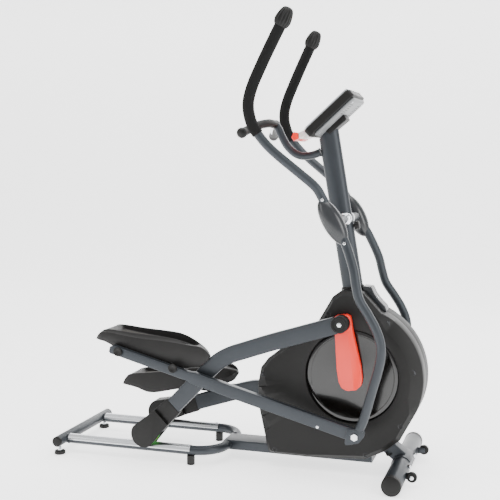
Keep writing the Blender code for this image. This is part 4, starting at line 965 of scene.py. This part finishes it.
def strip(start, end, half_start, half_end):
    """Four corners of a straight strip between two X, Z points."""
    angle = heading(start, end)
    nx, nz = -sin(angle), cos(angle)
    return [(start[0] + nx * half_start, start[1] + nz * half_start),
            (start[0] - nx * half_start, start[1] - nz * half_start),
            (end[0] - nx * half_end, end[1] - nz * half_end),
            (end[0] + nx * half_end, end[1] + nz * half_end)]


for side in SIDES:
    sign = side.sign
    line = smooth([side.placed(side.arm, x, 0.155, z) for x, z in ARM_PATH], 4)
    fork_x, fork_z = boot_line(0.080)
    line.append(side.placed(side.arm, fork_x, 0.155, fork_z))
    ring = rounded([(0.015, -0.030), (0.015, 0.030), (-0.015, 0.030), (-0.015, -0.030)], 0.005)
    arm = sweep(line, ring)
    tines = []
    for low, high in [(0.1274, 0.1304), (0.1776, 0.1806)]:
        tine = [side.arm(p) for p in strip(boot_line(-0.014), boot_line(0.075), 0.014, 0.029)]
        tines.append(slab(rounded(tine, 0.012), sign * low, sign * high, 0.0006))
    block = slab([side.arm(p) for p in strip(boot_line(0.056), boot_line(0.084), 0.0285, 0.0285)],
                 sign * 0.1276, sign * 0.1804, 0.001)
    piece("arm_" + side.tag, merged(arm, block, *tines), slate_coat, "arm_" + side.tag,
          ["roller_arm_" + side.tag])
    pin = (side.pin[0], 0, side.pin[1])
    housing = lathe([(0.0, 0.1376), (0.0285, 0.1376), (0.0300, 0.1388), (0.0300, 0.1790), (0.0292, 0.1804),
                     (0.0260, 0.1812), (0.0225, 0.1813), (0.0215, 0.1790), (0.0, 0.1790)], pin, (0, sign, 0),
                     56)
    piece("arm_housing_" + side.tag, housing, black_abs, "arm_" + side.tag)
    screws("arm_bolt_" + side.tag, [(Vector(pin) + Vector((0, sign * 0.1788, 0)), (0, sign, 0))], 0.0085,
           0.0026,
           bright_steel, "arm_" + side.tag, 0.5, 6)
    edge_spot = side.placed(side.arm, -0.098, 0.1395, 0.330)
    screws("cross_nut_" + side.tag, [(edge_spot, (0, -sign, 0))], 0.0115, 0.006, bright_steel,
           "arm_" + side.tag, 0.4, 6)

    hull = [(REST_ROLLER[0] + 0.0498 * cos(radians(a)), REST_ROLLER[1] + 0.0498 * sin(radians(a)))
            for a in range(148, 316, 8)]
    far = strip(boot_line(0.02), boot_line(0.098), 0.044, 0.036)
    outline = rounded([side.arm(p) for p in hull], 0.001, 1) + [side.arm(far[2]), side.arm(far[3])]
    shells = [slab(outline, sign * low, sign * high, 0.0012, 3) for low, high in [(0.1237, 0.1264),
                                                                                  (0.1816, 0.1843)]]
    inside = strip(boot_line(0.02), boot_line(0.0962), 0.0424, 0.0344)
    wall = [(REST_ROLLER[0] + 0.0484 * cos(radians(a)), REST_ROLLER[1] + 0.0484 * sin(radians(a)))
            for a in range(206, 140, -6)]
    wall += [inside[3], inside[2], (REST_ROLLER[0] + 0.0478, REST_ROLLER[1] - 0.001)]
    wall = [side.placed(side.arm, x, 0.154, z) for x, z in wall]
    band_ring = rounded([(0.0292, -0.0011), (0.0292, 0.0011), (-0.0292, 0.0011), (-0.0292, -0.0011)], 0.0006,
                        2)
    boot = slab(rounded([side.arm(p) for p in strip(boot_line(0.05), boot_line(0.160), 0.040, 0.0345)],
                        0.006),
                sign * 0.1384, sign * 0.1716, 0.003, 3)
    piece("wheel_cover_" + side.tag, merged(*shells, sweep(wall, band_ring), boot), black_abs,
          "arm_" + side.tag, ["roller_cover_" + side.tag])
    caps = [(side.placed(side.arm, REST_ROLLER[0], 0.1228, REST_ROLLER[1]), (0, -sign, 0))]
    screws("wheel_bolts_" + side.tag, caps, 0.0075, 0.003, bright_steel, "arm_" + side.tag,
           0.45, 6)

# ---------------------------------------------------------------- swinging handles
# A bent steel tube swings on the axle; its lower end is a welded clevis plate for the pedal bar.
# The handle above has a slipped-on foam grip, and a fluted moulded bulb closes its end.

# Closed-cell nitrile foam: a soft open skin with fine cells.
foam, tree, shader, place = new_finish("nitrile_grip_foam", "#0f0f0f", 0.9, 0.0, Specular_IOR_Level=0.2)
vary(tree, shader, place, 0.015, "#0c0c0c", "#141414", (0.82, 0.96))
cells = add_node(tree, "ShaderNodeTexVoronoi", {}, {"Vector": place, "Scale": 1300.0})
emboss(tree, shader, cells.outputs["Distance"], 0.0004, 0.6)

SWING_PATH = [(0.395, 0.200, 0.903), (0.417, 0.200, 0.865), (0.441, 0.207, 0.815), (0.466, 0.222, 0.746),
              (0.477, 0.229, 0.690), (0.489, 0.231, 0.645), (0.518, 0.232, 0.598), (0.544, 0.2325, 0.552),
              (0.561, 0.233, 0.504), (0.563, 0.2335, 0.455), (0.553, 0.2335, 0.404), (0.539, 0.2335, 0.354),
              (0.511, 0.2335, 0.251), (0.494, 0.2335, 0.205)]
HANDLE_PATH = [(0.3837, 0.200, 0.9242), (0.352, 0.200, 0.983), (0.329, 0.205, 1.020), (0.280, 0.216, 1.063),
               (0.213, 0.235, 1.120), (0.174, 0.245, 1.157), (0.1415, 0.252, 1.197), (0.119, 0.256, 1.237),
               (0.109, 0.259, 1.294), (0.123, 0.261, 1.353), (0.158, 0.263, 1.428), (0.189, 0.264, 1.489),
               (0.223, 0.265, 1.553)]

for side in SIDES:
    sign, body = side.sign, "swing_" + side.tag
    pivot = Vector((SWING_PIVOT[0], 0, SWING_PIVOT[1]))
    lower = tube(smooth([side.placed(side.swing, *p) for p in SWING_PATH], 6), 0.016, 36)
    hub = lathe([(0.0193, 0.1834), (0.0215, 0.1834), (0.0225, 0.1844), (0.0225, 0.2156), (0.0215, 0.2166),
                 (0.0193, 0.2166)], pivot, (0, sign, 0), 56)
    corner = [(-0.026, 0.026), (0.036, 0.030), (0.033, 0.004), (0.014, -0.020), (-0.036, -0.033)]
    clevis = slab(rounded([side.swing((SWING_END[0] + x, SWING_END[1] + z)) for x, z in corner], 0.010, 5),
                  sign * 0.2166, sign * 0.2224, 0.0008)
    piece("swing_tube_" + side.tag, merged(lower, hub, clevis), slate_coat, body,
          ["swing_arm_" + side.tag])
    line = smooth([side.placed(side.swing, *p) for p in HANDLE_PATH], 6)
    piece("handle_" + side.tag, tube(line, 0.016, 36), slate_coat, body,
          ["handle_tube_" + side.tag])
    grip = tube(line[6 * 6:], 0.0197, 40, 0.003)
    made = piece("foam_grip_" + side.tag, grip, foam, body, ["handle_grip_" + side.tag])
    end, along = line[-1], (line[-1] - line[-2]).normalized()
    fluted = [((1.0 + 0.05 * cos(16 * 2 * pi * i / 112)) * cos(2 * pi * i / 112),
               (1.0 + 0.05 * cos(16 * 2 * pi * i / 112)) * sin(2 * pi * i / 112)) for i in range(112)]
    stations = [(-0.004, 0.0205), (0.000, 0.0228), (0.005, 0.0252), (0.012, 0.0270), (0.018, 0.0272),
                (0.028, 0.0260), (0.040, 0.0236), (0.050, 0.0206), (0.057, 0.0168), (0.0610, 0.0115),
                (0.0630, 0.0035)]
    bulb = sweep([end + along * a for a, r in stations], fluted, [r for a, r in stations])
    piece("handle_bulb_" + side.tag, bulb, black_abs, body)
    spots = [(side.placed(side.swing, 0.356, 0.2158, 0.977), (0, sign, 0)),
             (side.placed(side.swing, 0.4335, 0.2195, 0.832), (0, sign, 0))]
    screws("handle_screws_" + side.tag, spots, 0.0052, 0.0022, bright_steel, body)

    tilt = radians(30.0) - side.swing_turn
    middle = side.swing((0.389, 0.903))
    halves = []
    for way in (-1, 1):
        shell = bmesh.new()
        bmesh.ops.create_uvsphere(shell, u_segments=64, v_segments=36, radius=1.0)
        bmesh.ops.bisect_plane(shell, geom=shell.verts[:] + shell.edges[:] + shell.faces[:],
                               plane_co=(0, way * 0.02, 0), plane_no=(0, -way, 0), clear_outer=True)
        bmesh.ops.holes_fill(shell, edges=[e for e in shell.edges if e.is_boundary], sides=0)
        bmesh.ops.recalc_face_normals(shell, faces=shell.faces)
        shell.transform(Matrix.Translation((middle[0], sign * 0.200, middle[1]))
                        @ Matrix.Rotation(-tilt, 4, "Y")
                        @ Matrix.Diagonal((0.036, 0.0293, 0.086, 1.0)))
        halves.append(shell)
    piece("pivot_shells_" + side.tag, merged(*halves), grey_gloss, body,
          ["pivot_cover_" + side.tag])

# ---------------------------------------------------------------- pedal bars
# A rectangular steel bar is pinned between swing arm and roller arm and carries the pedal on its
# narrower rear end. Two moulded knobs clamp the pedal to it.

TILT = heading(SWING_END, CROSS_PIVOT)


def along_bar(side, a, up):
    """Point a distance along the pedal bar from its front pin, and off its centre line."""
    c, s = cos(TILT), sin(TILT)
    return side.bar((SWING_END[0] + a * c + up * s, SWING_END[1] + a * s - up * c))


for side in SIDES:
    sign, body = side.sign, "pedal_" + side.tag
    nose = [(-0.0213 * cos(t), 0.0213 * sin(t)) for t in [radians(-90 + 15 * i) for i in range(13)]]
    shape = nose + [(0.612, 0.0213), (0.628, 0.0163), (0.938, 0.0163), (0.948, 0.008), (0.948, -0.012),
                    (0.940, -0.0163), (0.628, -0.0163), (0.612, -0.0213)]
    bar = slab([along_bar(side, *p) for p in shape], sign * 0.1862, sign * 0.2138, 0.0035, 4)
    cross = side.bar(CROSS_PIVOT)
    boss = lathe([(0.0, 0.1714), (0.0150, 0.1714), (0.0160, 0.1724), (0.0160, 0.1880), (0.0, 0.1880)],
                 (cross[0], 0, cross[1]), (0, sign, 0), 40)
    piece("bar_" + side.tag, merged(bar, boss), slate_coat, body, ["pedal_bar_" + side.tag])
    knobs = []
    for x, z in [(-0.404, 0.414), (-0.189, 0.367)]:
        spot = side.bar((x, z))
        knobs.append(lathe([(0.0, 0.2130), (0.0150, 0.2130), (0.0165, 0.2145), (0.0165, 0.2205),
                            (0.0150, 0.2222),
                            (0.0100, 0.2222), (0.0085, 0.2212), (0.0, 0.2212)], (spot[0], 0, spot[1]),
                           (0, sign, 0), 40))
    piece("bar_knobs_" + side.tag, merged(*knobs), black_abs, body)
    here = side.bar((0.344, 0.197))
    screws("bar_screw_" + side.tag, [(Vector((here[0], sign * 0.2140, here[1])), (0, sign, 0))], 0.0050,
           0.0020,
           bright_steel, body)

# ---------------------------------------------------------------- pedals
# Deep moulded foot trays with a raised rim all round and a wrapped toe. The floor is a separate
# ribbed rubber mat, its ribs running lengthwise.

# Polypropylene tray, satin.
tray_plastic, tree, shader, place = new_finish("satin_black_polypropylene", "#131212", 0.46, 0.0,
                                               Specular_IOR_Level=0.3)
vary(tree, shader, place, 0.07, "#100f0f", "#181716", (0.4, 0.54))
# Ribbed tread rubber, paler where soles have rubbed it.
tread_rubber, tree, shader, place = new_finish("tread_rubber", "#35322f", 0.72)
vary(tree, shader, place, 0.03, "#2c2a28", "#45423e", (0.62, 0.84))



def eased(table):
    """Broken line of (x, value) points drawn as a smooth curve."""
    return [(p.x, p.z) for p in smooth([(x, 0, v) for x, v in table], 6)]


SKIRT_TOP = eased([(-0.512, 0.452), (-0.498, 0.470), (-0.470, 0.479), (-0.350, 0.464), (-0.240, 0.458),
                   (-0.160, 0.450), (-0.100, 0.444), (-0.074, 0.430), (-0.060, 0.408)])
SKIRT_LOW = eased([(-0.512, 0.450), (-0.470, 0.442), (-0.420, 0.430), (-0.350, 0.386), (-0.296, 0.364),
                   (-0.200, 0.362), (-0.105, 0.370), (-0.078, 0.386), (-0.060, 0.402)])
TUB_TOP = eased([(-0.512, 0.456), (-0.492, 0.477), (-0.462, 0.487), (-0.363, 0.478), (-0.268, 0.472),
                 (-0.205, 0.466), (-0.148, 0.452), (-0.098, 0.434), (-0.072, 0.418), (-0.060, 0.408)])
TUB_LOW = eased([(-0.512, 0.452), (-0.458, 0.430), (-0.400, 0.400), (-0.300, 0.396), (-0.105, 0.396),
                 (-0.080, 0.402),
                 (-0.060, 0.405)])
INNER = eased([(-0.512, 0.064), (-0.490, 0.053), (-0.260, 0.052), (-0.200, 0.066), (-0.155, 0.088),
               (-0.118, 0.112), (-0.085, 0.135), (-0.064, 0.158), (-0.060, 0.166)])
FLOOR = [(-0.452, 0.470), (-0.360, 0.456), (-0.150, 0.430), (-0.118, 0.440)]


def read_off(table, x):
    """Value of a broken line at x."""
    for (x1, v1), (x2, v2) in zip(table, table[1:]):
        if x <= x2:
            return v1 + (v2 - v1) * max(0.0, (x - x1)) / (x2 - x1)
    return table[-1][1]


for side in SIDES:
    sign, body = side.sign, "pedal_" + side.tag
    bm = bmesh.new()
    rows = []
    for i in range(77):
        x = -0.509 + 0.444 * (i / 76)
        top, low = read_off(SKIRT_TOP, x), read_off(SKIRT_LOW, x)
        tub_top, tub_low = read_off(TUB_TOP, x), read_off(TUB_LOW, x)
        inner = min(read_off(INNER, x), 0.160)
        fill = min(1.0, max(0.0, (-0.446 - x) / 0.012, (x + 0.128) / 0.012))
        floor = read_off(FLOOR, x) * (1 - fill) + (tub_top - 0.001) * fill
        floor = min(floor, tub_top - 0.001)
        reach = min(1.0, (x + 0.512) / 0.03 + 0.35, (-0.062 - x) / 0.03 + 0.35)
        outer = 0.1725 + 0.0118 * min(1.0, reach)
        well = min(inner + 0.012, 0.163)
        loop = [(outer - 0.0010, low), (outer, low + 0.002), (outer, top - 0.004),
                (outer - 0.0012, top - 0.0012),
                (outer - 0.0040, top), (0.1730, max(top - 0.0005, tub_top - 0.004)),
                (0.1718, tub_top - 0.0012),
                (0.1700, tub_top), (0.1672, tub_top - 0.0008),
                (0.1660, min(floor + 0.0015, tub_top - 0.0008)),
                (0.1640, floor), (well, floor), (inner + 0.0095, min(floor + 0.002, tub_top - 0.0008)),
                (inner + 0.0080, tub_top - 0.0006), (inner + 0.0050, tub_top),
                (inner + 0.0015, tub_top - 0.0012),
                (inner, tub_top - 0.004), (inner, tub_low + 0.003), (inner + 0.004, tub_low),
                (0.1690, tub_low), (0.1720, low)]
        rows.append([bm.verts.new(side.placed(side.bar, x, y, z)) for y, z in loop])
    for one, two in zip(rows, rows[1:]):
        for k in range(len(one)):
            bm.faces.new((one[k - 1], one[k], two[k], two[k - 1]))
    bm.faces.new(rows[0])
    bm.faces.new(rows[-1])
    bmesh.ops.recalc_face_normals(bm, faces=bm.faces)
    piece("foot_tray_" + side.tag, bm, tray_plastic, body, ["pedal_" + side.tag])
    ribs_at, ways = [], []
    for k in range(15):
        y = 0.066 + k * 0.0068
        for n in range(10):
            x1, x2 = -0.444 + n * 0.0304, -0.444 + (n + 1) * 0.0304
            if y < read_off(INNER, x2) + 0.016 or y > 0.1622:
                continue
            a = side.placed(side.bar, x1, y, read_off(FLOOR, x1) + 0.0004)
            b = side.placed(side.bar, x2, y, read_off(FLOOR, x2) + 0.0004)
            ribs_at.append((a + b) / 2)
            ways.append((b - a).normalized())
    mat = grown("tread", ribs_at, ways, [], RIBS, {"Rib Radius": 0.0019, "Rib Length": 0.031,
                                                  "Finish": tread_rubber})
    piece("tread_ribs_" + side.tag, mat, tread_rubber, body)
